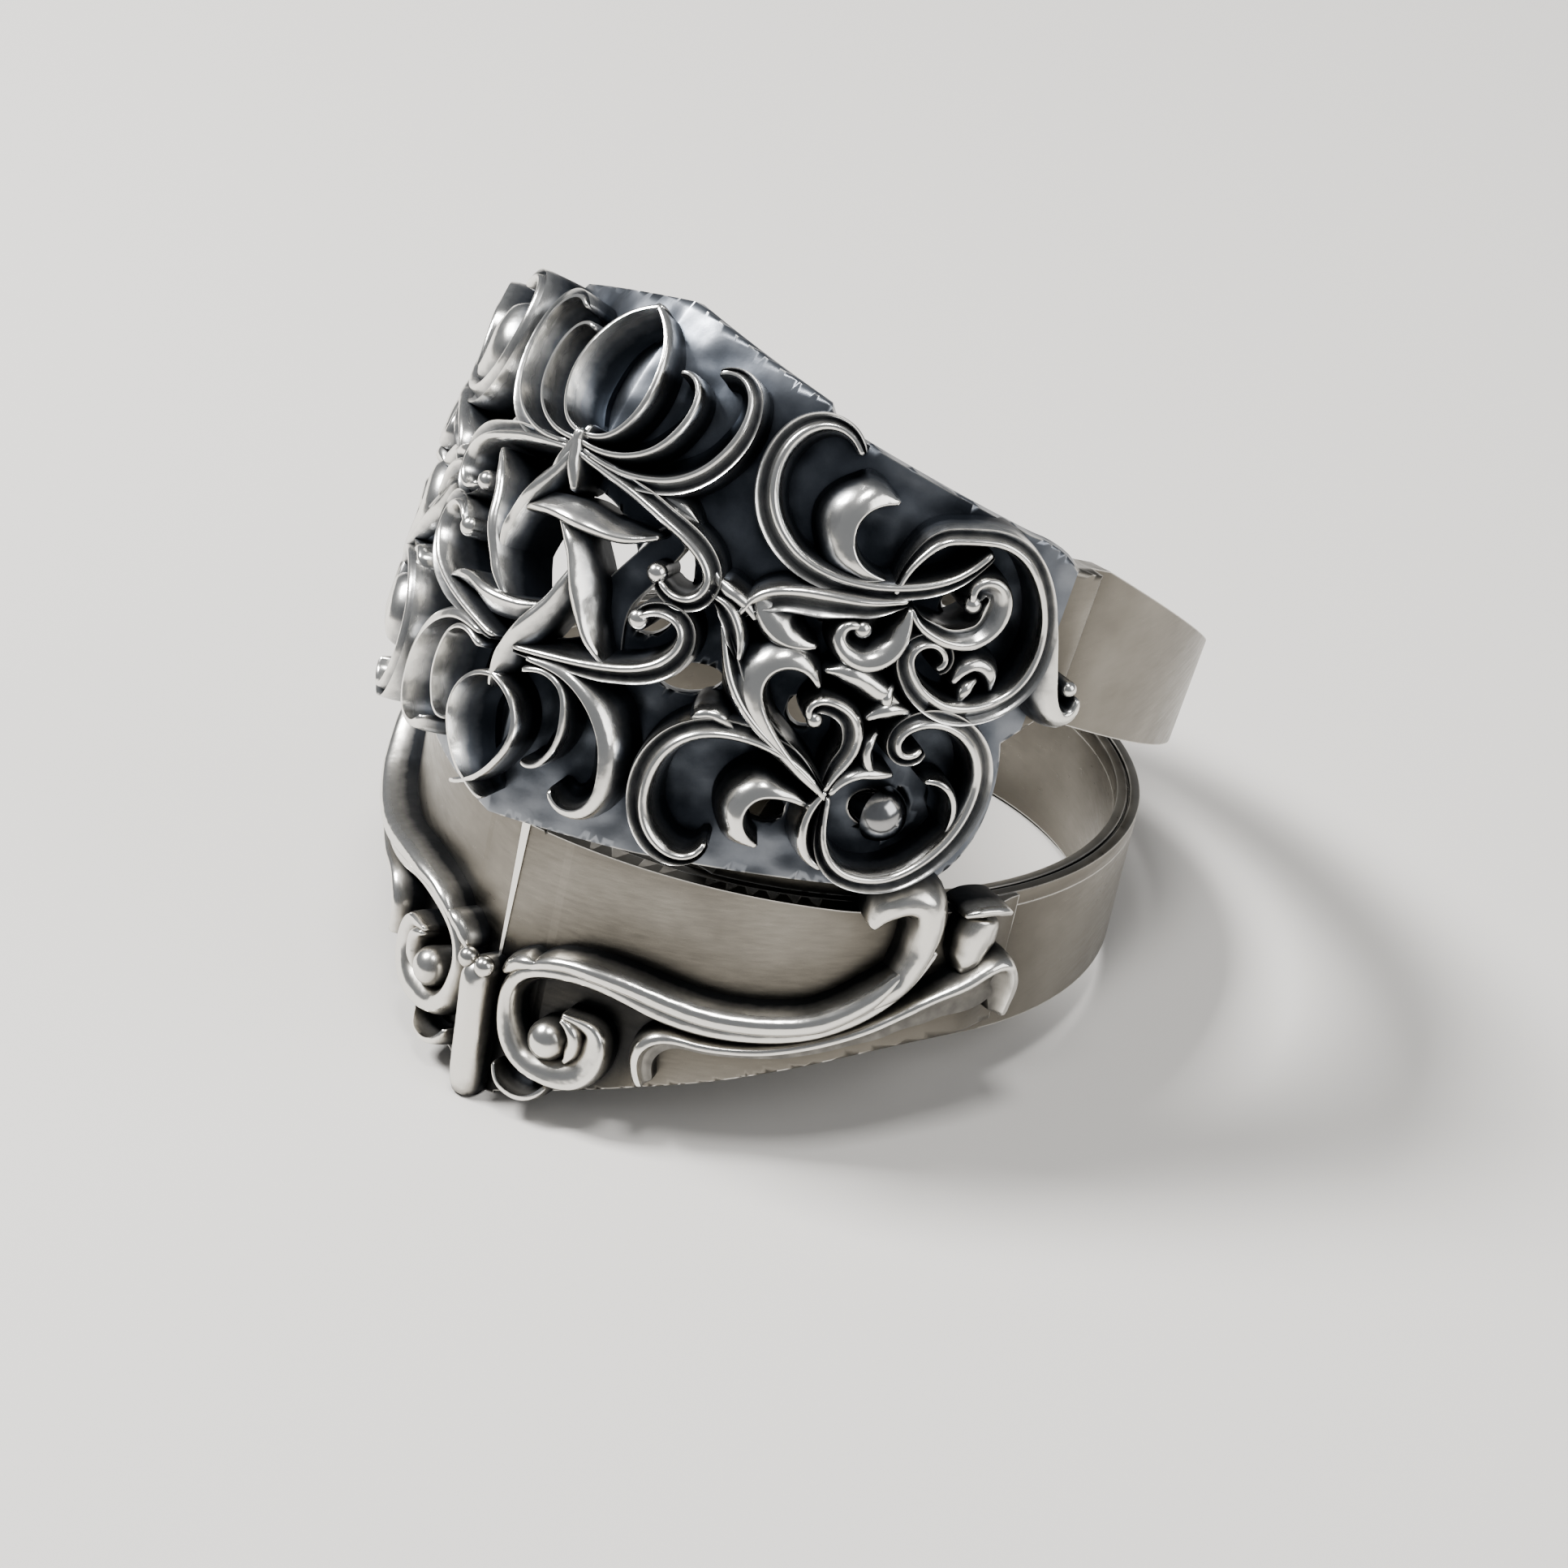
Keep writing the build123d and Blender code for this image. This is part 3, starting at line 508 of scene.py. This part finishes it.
class Shape:
    """Vertices, faces and heights over the wall of one piece of relief, in a ring's frame."""

    def __init__(self):
        self.points, self.rises, self.faces, self.count = [], [], [], 0

    def add(self, points, rises, faces):
        self.points.append(points)
        self.rises.append(rises)
        self.faces += [tuple(i + self.count for i in f) for f in faces]
        self.count += len(points)

    def mirrored(self):
        other = Shape()
        other.points = [p * (-1, 1, 1) for p in self.points]
        other.rises, other.count = self.rises, self.count
        other.faces = [f[::-1] for f in self.faces]
        return other


def section(left, left_width, right, right_width, height, foot):
    """Closed outline of a rib across its line: distance to the left, and height over the wall."""
    left_side, right_side = (np.reshape(SIDES[kind], (-1, 2)) / 100 for kind in (left, right))
    rows = [(crest_half + share * left_width, h * height) for share, h in left_side[::-1]]
    rows += [(crest_half, height), (0.0, height * crest_bulge), (-crest_half, height)]
    rows += [(-crest_half - share * right_width, h * height) for share, h in right_side]
    rows += [(-crest_half - right_width, -foot), (crest_half + left_width, -foot)]
    return rows


def add_rib(shape, face, angles, left, left_widths, right, right_widths, heights):
    """Rib along a line of angles and heights on a face."""
    flat = np.stack([angles[:, 0] * developed, angles[:, 1]], 1)
    line, along = smooth_line(flat, rib_step)
    share = along / along[-1]
    for _ in range(smoothings):
        line[1:-1] = (line[:-2] + 2 * line[1:-1] + line[2:]) / 4
    angle = line[:, 0] / developed
    tall = spread(heights, share) + face.extra(angle, line[:, 1])
    crest = face.point(angle, line[:, 1], tall)
    normal = face.normal(angle, line[:, 1], tall)
    travel = np.gradient(crest, axis=0)
    travel /= np.linalg.norm(travel, axis=1, keepdims=True)
    side = np.cross(normal, travel)
    side /= np.linalg.norm(side, axis=1, keepdims=True)
    near_end = np.minimum(along, along[-1] - along)
    cap = np.sqrt(np.clip(1 - (1 - np.clip(near_end / end_round, 0, 1)) ** 2, 0.01, 1))
    wide_left = spread(left_widths, share) * cap
    wide_right = spread(right_widths, share) * cap
    first, last = tail_angles
    foot = face.foot + face.tail_foot * np.clip((np.degrees(np.abs(angle)) - first) / (last - first), 0, 1)
    points, rises = [], []
    for i in range(len(line)):
        for across, h in section(left, wide_left[i], right, wide_right[i], tall[i], foot[i]):
            lowered = h if h < 0 else h * (end_low + (1 - end_low) * cap[i])
            beside = side[i] * across * min(1.0, cap[i] + 0.05)
            points.append(crest[i] + beside + normal[i] * (lowered - tall[i]))
            rises.append(max(lowered, 0.0) / tall[i])
    faces = tube_faces(len(line), len(points) // len(line))
    shape.add(np.array(points), np.array(rises), faces)


def add_charted_rib(shape, face, chart, *traits):
    """Rib whose crest is charted, as a row of a table gives it."""
    traits = [trait if isinstance(trait, str) else np.array(trait) / 100 for trait in traits]
    chart = np.reshape(chart, (-1, 2)) / chart_unit[face is plate]
    shares = np.linspace(0, 1, len(chart))
    add_rib(shape, face, face.from_chart(chart, spread(traits[-1], shares)), *traits)


def add_round(shape, top, first, second, rows, rises, point=None):
    """Round form under a top: the radius and the depth of each row, to a flat end or a point."""
    around = 2 * pi * np.arange(round_sides) / round_sides
    circle = np.outer(np.cos(around), first) + np.outer(np.sin(around), second)
    down = np.cross(second, first)
    points = [top[None]] + [top + circle * radius + down * depth for radius, depth in rows]
    ring = np.arange(round_sides)
    ahead = np.roll(ring, -1)
    *between, _, end = tube_faces(len(rows), round_sides)
    faces = np.stack([0 * ring, 1 + ahead, 1 + ring], 1).tolist()
    faces += [[1 + i for i in face] for face in between]
    if point is None:
        faces.append([1 + i for i in end])
    else:
        last = 1 + len(rows) * round_sides
        points.append((top + down * point)[None])
        faces += (last + np.stack([0 * ring, ring - round_sides, ahead - round_sides], 1)).tolist()
    shape.add(np.concatenate(points), rises, faces)


def add_ball(shape, face, across, up, radius, height):
    """Dome on a stem whose top stands the given height over the wall, at a place of the chart."""
    angle, z = face.from_chart([(across, up)], np.array([height]))[0]
    height = height + face.extra(angle, z)
    place = np.array([angle]), np.array([z]), height
    normal = face.normal(*place)[0]
    first = np.cross(normal, (0, 0, 1))
    first /= np.linalg.norm(first)
    turns = pi / 2 * np.arange(1, dome_rows) / (dome_rows - 1)
    rows = [(radius * sin(turn), radius * (1 - cos(turn))) for turn in turns]
    rows.append((radius, height + face.foot))
    worn = [max(1 - depth * dome_fall / height, 0.0) for _, depth in rows]
    rises = np.concatenate([[1.0], np.repeat(worn, round_sides)])
    add_round(shape, face.point(*place)[0], first, np.cross(normal, first), rows, rises)


def add_knob(shape, centre):
    turns = pi * np.arange(1, knob_rows) / knob_rows
    rows = [(knob_radius * sin(turn), knob_radius * (1 - cos(turn))) for turn in turns]
    rises = np.full(2 + len(rows) * round_sides, knob_shine)
    top = np.array(centre) + (0, 0, knob_radius)
    add_round(shape, top, (1, 0, 0), (0, 1, 0), rows, rises, 2 * knob_radius)


def linked(name, data):
    obj = bpy.data.objects.new(name, data)
    bpy.context.scene.collection.objects.link(obj)
    return obj


def edit(mesh, operator, layer, **values):
    """Runs a bmesh operator on all the faces or vertices of a mesh."""
    work = bmesh.new()
    work.from_mesh(mesh)
    operator(work, **{layer: getattr(work, layer)}, **values)
    work.to_mesh(mesh)
    work.free()


def new_object(name, ring, points, faces):
    """Closed mesh of points in a ring's frame, with its faces turned outwards."""
    mesh = bpy.data.meshes.new(name)
    mesh.from_pydata(ring.world(points).tolist(), [], faces)
    edit(mesh, bmesh.ops.recalc_face_normals, "faces")
    return linked(name, mesh)


def set_attribute(obj, name, values):
    """A number for each vertex, which a material reads."""
    attribute = obj.data.attributes.new(name, "FLOAT", "POINT")
    attribute.data.foreach_set("value", values.astype(np.float32))


def dress(obj, ring, materials, sharp):
    """Gives a piece its materials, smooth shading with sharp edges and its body."""
    obj.data.materials.clear()
    for material in materials:
        obj.data.materials.append(material)
    obj.data.shade_smooth()
    obj.data.set_sharp_from_angle(angle=radians(sharp))
    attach(obj, ring.body)


def relief_object(name, shape, ring, material):
    """A piece of relief as a closed mesh with its rise as an attribute."""
    obj = new_object(name, ring, np.concatenate(shape.points), shape.faces)
    set_attribute(obj, "rise", np.concatenate(shape.rises))
    dress(obj, ring, (material,), sharp_relief)


def build_relief(name, face, ribs, balls, material):
    """Charted relief of a face's right half, and its mirror image on the left."""
    right = Shape()
    for add, rows in ((add_charted_rib, ribs), (add_ball, balls)):
        for row in rows.values():
            add(right, face, *row)
    relief_object(name + "_right", right, face.ring, material)
    relief_object(name + "_left", right.mirrored(), face.ring, material)


def build_pinwheel(material):
    wheel = Shape()
    centre = shield_bottom + shield_height * pinwheel_share
    blade = np.array(PINWHEEL_BLADE)
    for index in range(pinwheel_blades):
        turn = 2 * pi * index / pinwheel_blades
        across = blade[:, 0] * cos(turn) - blade[:, 1] * sin(turn)
        up = blade[:, 0] * sin(turn) + blade[:, 1] * cos(turn)
        angles = np.stack([shield.angle_at(across, centre), up + centre], 1)
        add_rib(wheel, shield, angles, *PINWHEEL_TRAITS)
    relief_object("pinwheel", wheel, upper, material)


def ground_height(y):
    """Height in the lower ring's frame of the surface that the ring stands on."""
    back = bore_radius + band_wall
    return lower_edge_back - (back - y) * (plate_drop + lower_edge_back) / (back - foot_y)


def rim_height(y):
    """Height of the lower ring's rim, which slants up towards the back."""
    radius = bore_radius + band_wall
    return lower_rim_front + (lower_rim_back - lower_rim_front) * (y + radius) / (2 * radius)


def build_bar(material):
    """Upright bar in the middle of the plate, with its two knobs, rounded all over."""
    around = 2 * pi * np.arange(bar_sides) / bar_sides
    c, s = (np.sign(v) * np.abs(v) ** bar_power for v in (np.cos(around), np.sin(around)))
    z, half, rise = (np.array(column)[:, None] for column in zip(*BAR_ROWS))
    y = -plate.keel - (rise - bar_sink) / 2 - (rise + bar_sink) / 2 * s
    points = np.stack([half * c, y, np.maximum(z, ground_height(y))], -1).reshape(-1, 3)
    shape = Shape()
    rises = np.clip((-points[:, 1] - plate.keel) / bar_foot_rise, 0, 1)
    shape.add(points, rises, tube_faces(len(BAR_ROWS), bar_sides))
    for side in (-1, 1):
        add_knob(shape, (side * knob_spread, -plate.keel - knob_rise, bar_top))
    relief_object("foot_bar", shape, lower, material)


def build_keel_strip(material):
    """Narrow polished strip down the keel of the lower plate, from the rim to the bar."""
    front = -plate.keel + plate_sink - strip_proud
    back = front + plate.foot
    top = rim_height(-plate.keel) + strip_proud
    points = []
    for z, half in zip(np.linspace(top, bar_top, strip_rows), np.linspace(*strip_half, strip_rows)):
        points += [(-half, front, z), (half, front, z), (half, back, z), (-half, back, z)]
    shape = Shape()
    shape.add(np.array(points), np.ones(len(points)), tube_faces(strip_rows, 4))
    relief_object("keel_strip", shape, lower, material)


def swept_ring(name, outline):
    """Mesh of an outline swept round the lower ring: distances from the bore, heights from the rim."""
    angles = np.arange(rim_columns) * 2 * pi / rim_columns
    out, height = (np.array(column)[:, None] for column in zip(*outline))
    reach = bore_radius + out
    y = -reach * np.cos(angles)
    points = np.stack([reach * np.sin(angles), y, rim_height(y) + height], -1).reshape(-1, 3)
    grid = np.arange(len(points)).reshape(-1, rim_columns)
    ahead = np.roll(grid, -1, 1)
    return new_object(name, lower, points, quads(grid, ahead, np.roll(ahead, -1, 0), np.roll(grid, -1, 0)))


def wall_reach(face, angles, heights):
    """Distance from the axis of the visible wall, which thins towards its ends."""
    sink, start, end, thinning = face.wall
    near_end = np.clip((np.abs(angles) - radians(start)) / radians(end - start), 0, 1)
    return face.reach(angles, heights, -sink, keel_sharp) - thinning * eased(near_end)


def room_mesh(name, face, room):
    """Closed mesh of the room just outside a wall, where its relief stands."""
    half_angle, bottom, top, out = room
    share = np.linspace(-1, 1, room_columns)
    columns = radians(half_angle) * np.sign(share) * np.abs(share) ** room_gather
    angles, heights = (v.ravel() for v in np.meshgrid(columns, np.linspace(bottom, top, room_rows)))
    reach = wall_reach(face, angles, heights)
    inner = np.stack([reach * np.sin(angles), -reach * np.cos(angles), heights], 1)
    count = len(inner)
    grid = np.arange(count).reshape(room_rows, room_columns)
    a, b, c, d = grid[:-1, :-1], grid[:-1, 1:], grid[1:, 1:], grid[1:, :-1]
    both = (a, a + count), (d, b + count), (c, c + count), (b, d + count)
    faces = quads(*(np.stack(pair, -1) for pair in both))
    for pair in ((grid[:, 0], grid[:, -1]), (grid[0], grid[-1])):
        edge = np.stack(pair, -1)
        faces += quads(edge[:-1], edge[:-1] + count, edge[1:] + count, edge[1:])
    points = np.concatenate([inner, face.point(angles, heights, out)])
    return new_object(name, face.ring, points, faces)


def cut_away(obj, tool):
    """Takes the tool's room out of a mesh and deletes the tool."""
    cut = obj.modifiers.new("cut", "BOOLEAN")
    cut.operation, cut.solver, cut.object = "DIFFERENCE", "EXACT", tool
    bpy.context.view_layer.update()
    evaluated = obj.evaluated_get(bpy.context.evaluated_depsgraph_get())
    mesh = bpy.data.meshes.new_from_object(evaluated)
    obj.modifiers.clear()
    obj.data = mesh
    bpy.data.objects.remove(tool)


def follow_curves(mesh, ring):
    """Gives the faces that lie on a ring's curved walls the normals of the true curves."""
    places = ring.local([vertex.co for vertex in mesh.vertices])
    angle, radius = polar(places)
    radial = places * (1, 1, 0) / radius[:, None]
    vertex = np.array([loop.vertex_index for loop in mesh.loops])
    starts, totals = np.array([(face.loop_start, face.loop_total) for face in mesh.polygons]).T
    normals = ring.turned_in([face.normal for face in mesh.polygons])
    corners = ring.turned_in([corner.vector for corner in mesh.corner_normals])
    surfaces = [(np.full(len(places), reach), radial, round_tolerance) for reach in round_walls]
    if ring is upper:
        surfaces.append((shield.reach(angle, places[:, 2], -shield_wall, keel_sharp),
                         shield.normal(angle, places[:, 2], -shield_wall), shield_tolerance))
    for reach, outward, tolerance in surfaces:
        whole = np.logical_and.reduceat((np.abs(radius - reach) < tolerance)[vertex], starts)
        facing = np.einsum("ij,ij->i", normals, outward[vertex[starts]])
        chosen = np.repeat(whole & (np.abs(facing) > facing_limit), totals)
        corners[chosen] = (outward[vertex] * np.repeat(np.sign(facing), totals)[:, None])[chosen]
    mesh.normals_split_custom_set(ring.turned_out(corners).tolist())


def casting(node, name, ring, tools, materials):
    """The node's casting without its flat relief, which the modelled relief replaces."""
    obj = linked(name, frame["nodes"][node].data.copy())
    edit(obj.data, bmesh.ops.remove_doubles, "verts", dist=1e-7)
    for tool in tools:
        cut_away(obj, tool)
    dress(obj, ring, materials, sharp_casting)
    if len(materials) > 1:
        places = ring.local([face.center for face in obj.data.polygons])
        normals = ring.turned_in([face.normal for face in obj.data.polygons])
        angle, reach = polar(places)
        outwards = np.einsum("ij,ij->i", normals[:, :2], places[:, :2])
        satin = (np.abs(angle) > radians(side_start)) | (outwards < -inward_share * reach)
        obj.data.polygons.foreach_set("material_index", satin.astype(np.int32))
    follow_curves(obj.data, ring)
    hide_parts(node)
    return obj


def darken_plate(obj):
    """Marks how much darker the lower plate's colour is made low down near its keel, round its volutes, on
    the casting's vertices.
    """
    places = lower.local([vertex.co for vertex in obj.data.vertices])
    across = np.abs(places[:, 0]) * cos(plate.view) + (places[:, 1] + plate.keel) * sin(plate.view)
    below = np.clip((darkening_top - places[:, 2]) / darkening_fade, 0, 1)
    beside = np.clip((darkening_side - across) / darkening_fade, 0, 1)
    set_attribute(obj, "plate_darkening", below * beside)


# Colours from deep recess to worn crest, or from dark to light
WORN = (0.80, 0.78, 0.73)
RELIEF_STOPS = ((0.22, (0.014, 0.017, 0.022)), (0.50, (0.095, 0.102, 0.115)),
                (0.74, (0.34, 0.34, 0.335)), (0.94, (0.86, 0.84, 0.79)))
PLATE_STOPS = ((0.20, (0.015, 0.016, 0.018)), (0.45, (0.14, 0.135, 0.125)),
               (0.72, (0.42, 0.40, 0.36)), (0.94, WORN))
WALL_STOPS = ((0.28, (0.020, 0.024, 0.030)), (0.56, (0.092, 0.103, 0.122)), (0.90, (0.22, 0.235, 0.26)))
BAND_STOPS = ((0.25, (0.02, 0.02, 0.02)), (0.60, (0.105, 0.096, 0.080)), (0.85, (0.168, 0.154, 0.130)),
              (1.0, (0.27, 0.252, 0.218)))
RIVET_STOPS = ((0.35, (0.02, 0.022, 0.026)), (0.7, 0.16), (1.0, 0.36))

# Roughness of the relief as it wears, and of the bands as they are brushed
RELIEF_ROUGHNESS = ((0.3, 0.5), (0.9, 0.19))
BAND_ROUGHNESS = ((0.3, 0.27), (0.7, 0.40))
wear_gain = 5.0  # how fast wear grows as an edge turns


def set_inputs(tree, node, inputs):
    """Sets a node's inputs, by name or place: sockets are linked and values set."""
    for key, value in inputs.items():
        if isinstance(value, bpy.types.NodeSocket):
            tree.links.new(value, node.inputs[key])
        else:
            node.inputs[key].default_value = value


def add_node(tree, kind, inputs, **settings):
    node = tree.nodes.new("ShaderNode" + kind)
    for name, value in settings.items():
        setattr(node, name, value)
    set_inputs(tree, node, inputs)
    return node


def new_material(name, metallic=1.0):
    material = bpy.data.materials.new(name)
    material.use_nodes = True
    tree = material.node_tree
    tree.nodes.clear()
    shader = add_node(tree, "BsdfPrincipled", {"Metallic": metallic})
    add_node(tree, "OutputMaterial", {0: shader.outputs[0]})
    return material, tree, shader


def ramp(tree, source, stops):
    """Colour from a number, through a ramp of colours or greys."""
    node = add_node(tree, "ValToRGB", {0: source})
    elements = node.color_ramp.elements
    while len(elements) < len(stops):
        elements.new(0.5)
    for element, (position, colour) in zip(elements, stops):
        element.position = position
        element.color = (*np.broadcast_to(colour, 3), 1)
    return node.outputs[0]


def noise(tree, scale, detail, stretch=(1.0, 1.0, 1.0)):
    """Noise in the object's own space; scale is per metre."""
    place = add_node(tree, "TexCoord", {}).outputs["Object"]
    vector = add_node(tree, "Mapping", {"Vector": place, "Scale": stretch}).outputs["Vector"]
    return add_node(tree, "TexNoise", {"Vector": vector, "Scale": scale, "Detail": detail}).outputs["Fac"]


def arithmetic(tree, operation, *values):
    return add_node(tree, "Math", dict(enumerate(values)), operation=operation).outputs[0]


def mottled(tree, shade, *layers):
    """A shade with layers added: each a number, its share and a constant."""
    for value, share, constant in layers:
        shade = arithmetic(tree, "ADD", shade, arithmetic(tree, "MULTIPLY_ADD", value, share, constant))
    return shade


def openness(tree, distance, share, constant):
    """How open a place lies to its surroundings within a distance, times a share, plus a constant."""
    node = add_node(tree, "AmbientOcclusion", {"Distance": distance * MM}, samples=8)
    return arithmetic(tree, "MULTIPLY_ADD", node.outputs["AO"], share, constant)


def read_attribute(tree, name):
    return add_node(tree, "Attribute", {}, attribute_name=name).outputs["Fac"]


def bumps(tree, *layers):
    """Normal bent by layers of noise: height socket, depth, strength."""
    below = {}
    for height, depth, strength in layers:
        inputs = {"Height": height, "Distance": depth * MM, "Strength": strength, **below}
        below = {"Normal": add_node(tree, "Bump", inputs).outputs["Normal"]}
    return below["Normal"]


def worn_colour(tree, shade, stops, radius):
    """Colour from a shade, which turns bright within a radius of an edge."""
    rounded = add_node(tree, "Bevel", {"Radius": radius * MM}, samples=6).outputs["Normal"]
    plain = add_node(tree, "NewGeometry", {}).outputs["Normal"]
    product = add_node(tree, "VectorMath", {0: rounded, 1: plain}, operation="DOT_PRODUCT")
    wear = arithmetic(tree, "MULTIPLY_ADD", product.outputs["Value"], -wear_gain, wear_gain)
    mix = add_node(tree, "Mix", {}, data_type="RGBA", clamp_factor=True)
    set_inputs(tree, mix, {"Factor": wear, 6: ramp(tree, shade, stops), 7: (*WORN, 1)})
    return mix.outputs[2]


def relief_material(name, stops):
    """Cast silver with blackened recesses and bright worn crests."""
    material, tree, shader = new_material(name)
    grain = noise(tree, scale=2500, detail=4)
    open_share = openness(tree, distance=0.9, share=0.5, constant=0.5)
    worn = arithmetic(tree, "MULTIPLY", read_attribute(tree, "rise"), open_share)
    worn = mottled(tree, worn, (grain, 0.24, -0.12))
    normal = bumps(tree, (noise(tree, scale=1300, detail=2), 0.05, 0.5), (grain, 0.02, 0.35))
    set_inputs(tree, shader, {"Base Color": ramp(tree, worn, stops),
                              "Roughness": ramp(tree, worn, RELIEF_ROUGHNESS), "Normal": normal})
    return material


def wall_material():
    """Wall of the shield behind its relief: blackened, hammered, bright on its worn edges."""
    material, tree, shader = new_material("shield_wall_silver")
    grain = noise(tree, scale=1500, detail=5)
    hammered = noise(tree, scale=620, detail=1)
    shade = openness(tree, distance=1.8, share=0.75, constant=-0.2)
    shade = mottled(tree, shade, (hammered, 0.7, 0.0), (grain, 0.3, -0.15))
    normal = bumps(tree, (hammered, 0.4, 0.8), (grain, 0.03, 0.4))
    set_inputs(tree, shader, {"Base Color": worn_colour(tree, shade, WALL_STOPS, radius=0.09),
                              "Roughness": 0.34, "Normal": normal})
    return material


def band_material():
    """Satin silver of the bands and the lower plate, clouded, finely scratched, worn at its edges."""
    material, tree, shader = new_material("satin_silver")
    brush = noise(tree, scale=1400, detail=5, stretch=(1.0, 1.0, 6.0))
    cloud = noise(tree, scale=240, detail=4)
    shade = openness(tree, distance=1.6, share=0.8, constant=-0.15)
    # the lower plate's colour is made darker low down near its keel, round its volutes, by the attribute
    # read here
    shade = mottled(tree, shade, (cloud, 0.5, 0.0), (read_attribute(tree, "plate_darkening"), -darkening_depth, 0.0))
    normal = bumps(tree, (cloud, 0.06, 0.35), (brush, 0.012, 0.3))
    set_inputs(tree, shader, {"Base Color": worn_colour(tree, shade, BAND_STOPS, radius=0.08),
                              "Roughness": ramp(tree, brush, BAND_ROUGHNESS), "Normal": normal})
    return material


def rivet_material():
    """Rivet heads, polished but darkened."""
    material, tree, shader = new_material("rivet_silver")
    grain = noise(tree, scale=1800, detail=3)
    shade = mottled(tree, openness(tree, distance=0.8, share=0.75, constant=0.0), (grain, 0.4, 0.0))
    set_inputs(tree, shader, {"Base Color": ramp(tree, shade, RIVET_STOPS), "Roughness": 0.17,
                              "Normal": bumps(tree, (grain, 0.02, 0.25))})
    return material


def build_stage():
    """Pale floor and soft lights."""
    reach = floor_reach * MM
    mesh = bpy.data.meshes.new("floor")
    corners = [(-reach, -reach, 0), (reach, -reach, 0), (reach, reach, 0), (-reach, reach, 0)]
    mesh.from_pydata(corners, [], [range(4)])
    material, tree, shader = new_material("pale_floor", metallic=0.0)
    set_inputs(tree, shader, {"Base Color": floor_colour, "Roughness": floor_roughness})
    mesh.materials.append(material)
    linked("floor", mesh)

    world = bpy.data.worlds.new("studio")
    bpy.context.scene.world = world
    world.use_nodes = True
    sky = world.node_tree.nodes["Background"]
    set_inputs(world.node_tree, sky, {"Color": sky_colour, "Strength": sky_strength})
    for name, (azimuth, elevation, distance, size, watts) in LIGHTS.items():
        light = bpy.data.lights.new(name, "AREA")
        light.size = size * MM
        light.energy = watts
        place = Vector(bearing(azimuth, elevation)) * distance * MM
        obj = linked(name, light)
        obj.location = place + Vector((0, 0, light_aim * MM))
        obj.rotation_euler = place.to_track_quat("Z", "Y").to_euler()


def build_camera():
    camera = bpy.data.cameras.new("camera")
    camera.sensor_width = sensor_width
    camera.lens = sensor_width * focal_pixels / frame_pixels
    camera.shift_x = (frame_pixels / 2 - aim_pixel[0]) / frame_pixels
    camera.shift_y = (aim_pixel[1] - frame_pixels / 2) / frame_pixels
    camera.clip_start = near_clip * MM
    back = Vector(bearing(view_azimuth, view_elevation))
    place = Vector(lower.world([(0, 0, 0)])[0]) + back * view_distance * MM
    turn = back.to_track_quat("Z", "Y").to_matrix() @ Matrix.Rotation(radians(view_roll), 3, "Z")
    obj = linked("camera", camera)
    obj.matrix_world = Matrix.Translation(place) @ turn.to_4x4()
    bpy.context.scene.camera = obj


def build():
    relief = relief_material("oxidised_silver", RELIEF_STOPS)
    plate_relief = relief_material("worn_silver", PLATE_STOPS)
    wall, band, rivet = wall_material(), band_material(), rivet_material()
    build_camera()
    build_stage()
    shield_room = room_mesh("shield_room", shield, SHIELD_ROOM)
    plate_room = room_mesh("plate_room", plate, PLATE_ROOM)
    rim_room = swept_ring("rim_room", RIM_ROOM)
    casting("upper_ring", "shield_casting", upper, (shield_room,), (wall, band))
    # the lower casting's colour is made darker low down near its keel
    darken_plate(casting("lower_ring", "lower_casting", lower, (plate_room, rim_room), (band,)))
    build_relief("shield_relief", shield, SHIELD_RIBS, SHIELD_BALLS, relief)
    build_pinwheel(relief)
    build_relief("web", shield, WEB_RIBS, {}, wall)
    build_relief("plate_relief", plate, PLATE_RIBS, PLATE_BALLS, plate_relief)
    build_bar(plate_relief)
    build_keel_strip(plate_relief)
    dress(swept_ring("lower_rim", RIM_SECTION), lower, (band,), sharp_casting)
    for node in ("rivet_right", "rivet_left"):
        for slot in frame["nodes"][node].material_slots:
            slot.link = "OBJECT"
            slot.material = rivet


build()
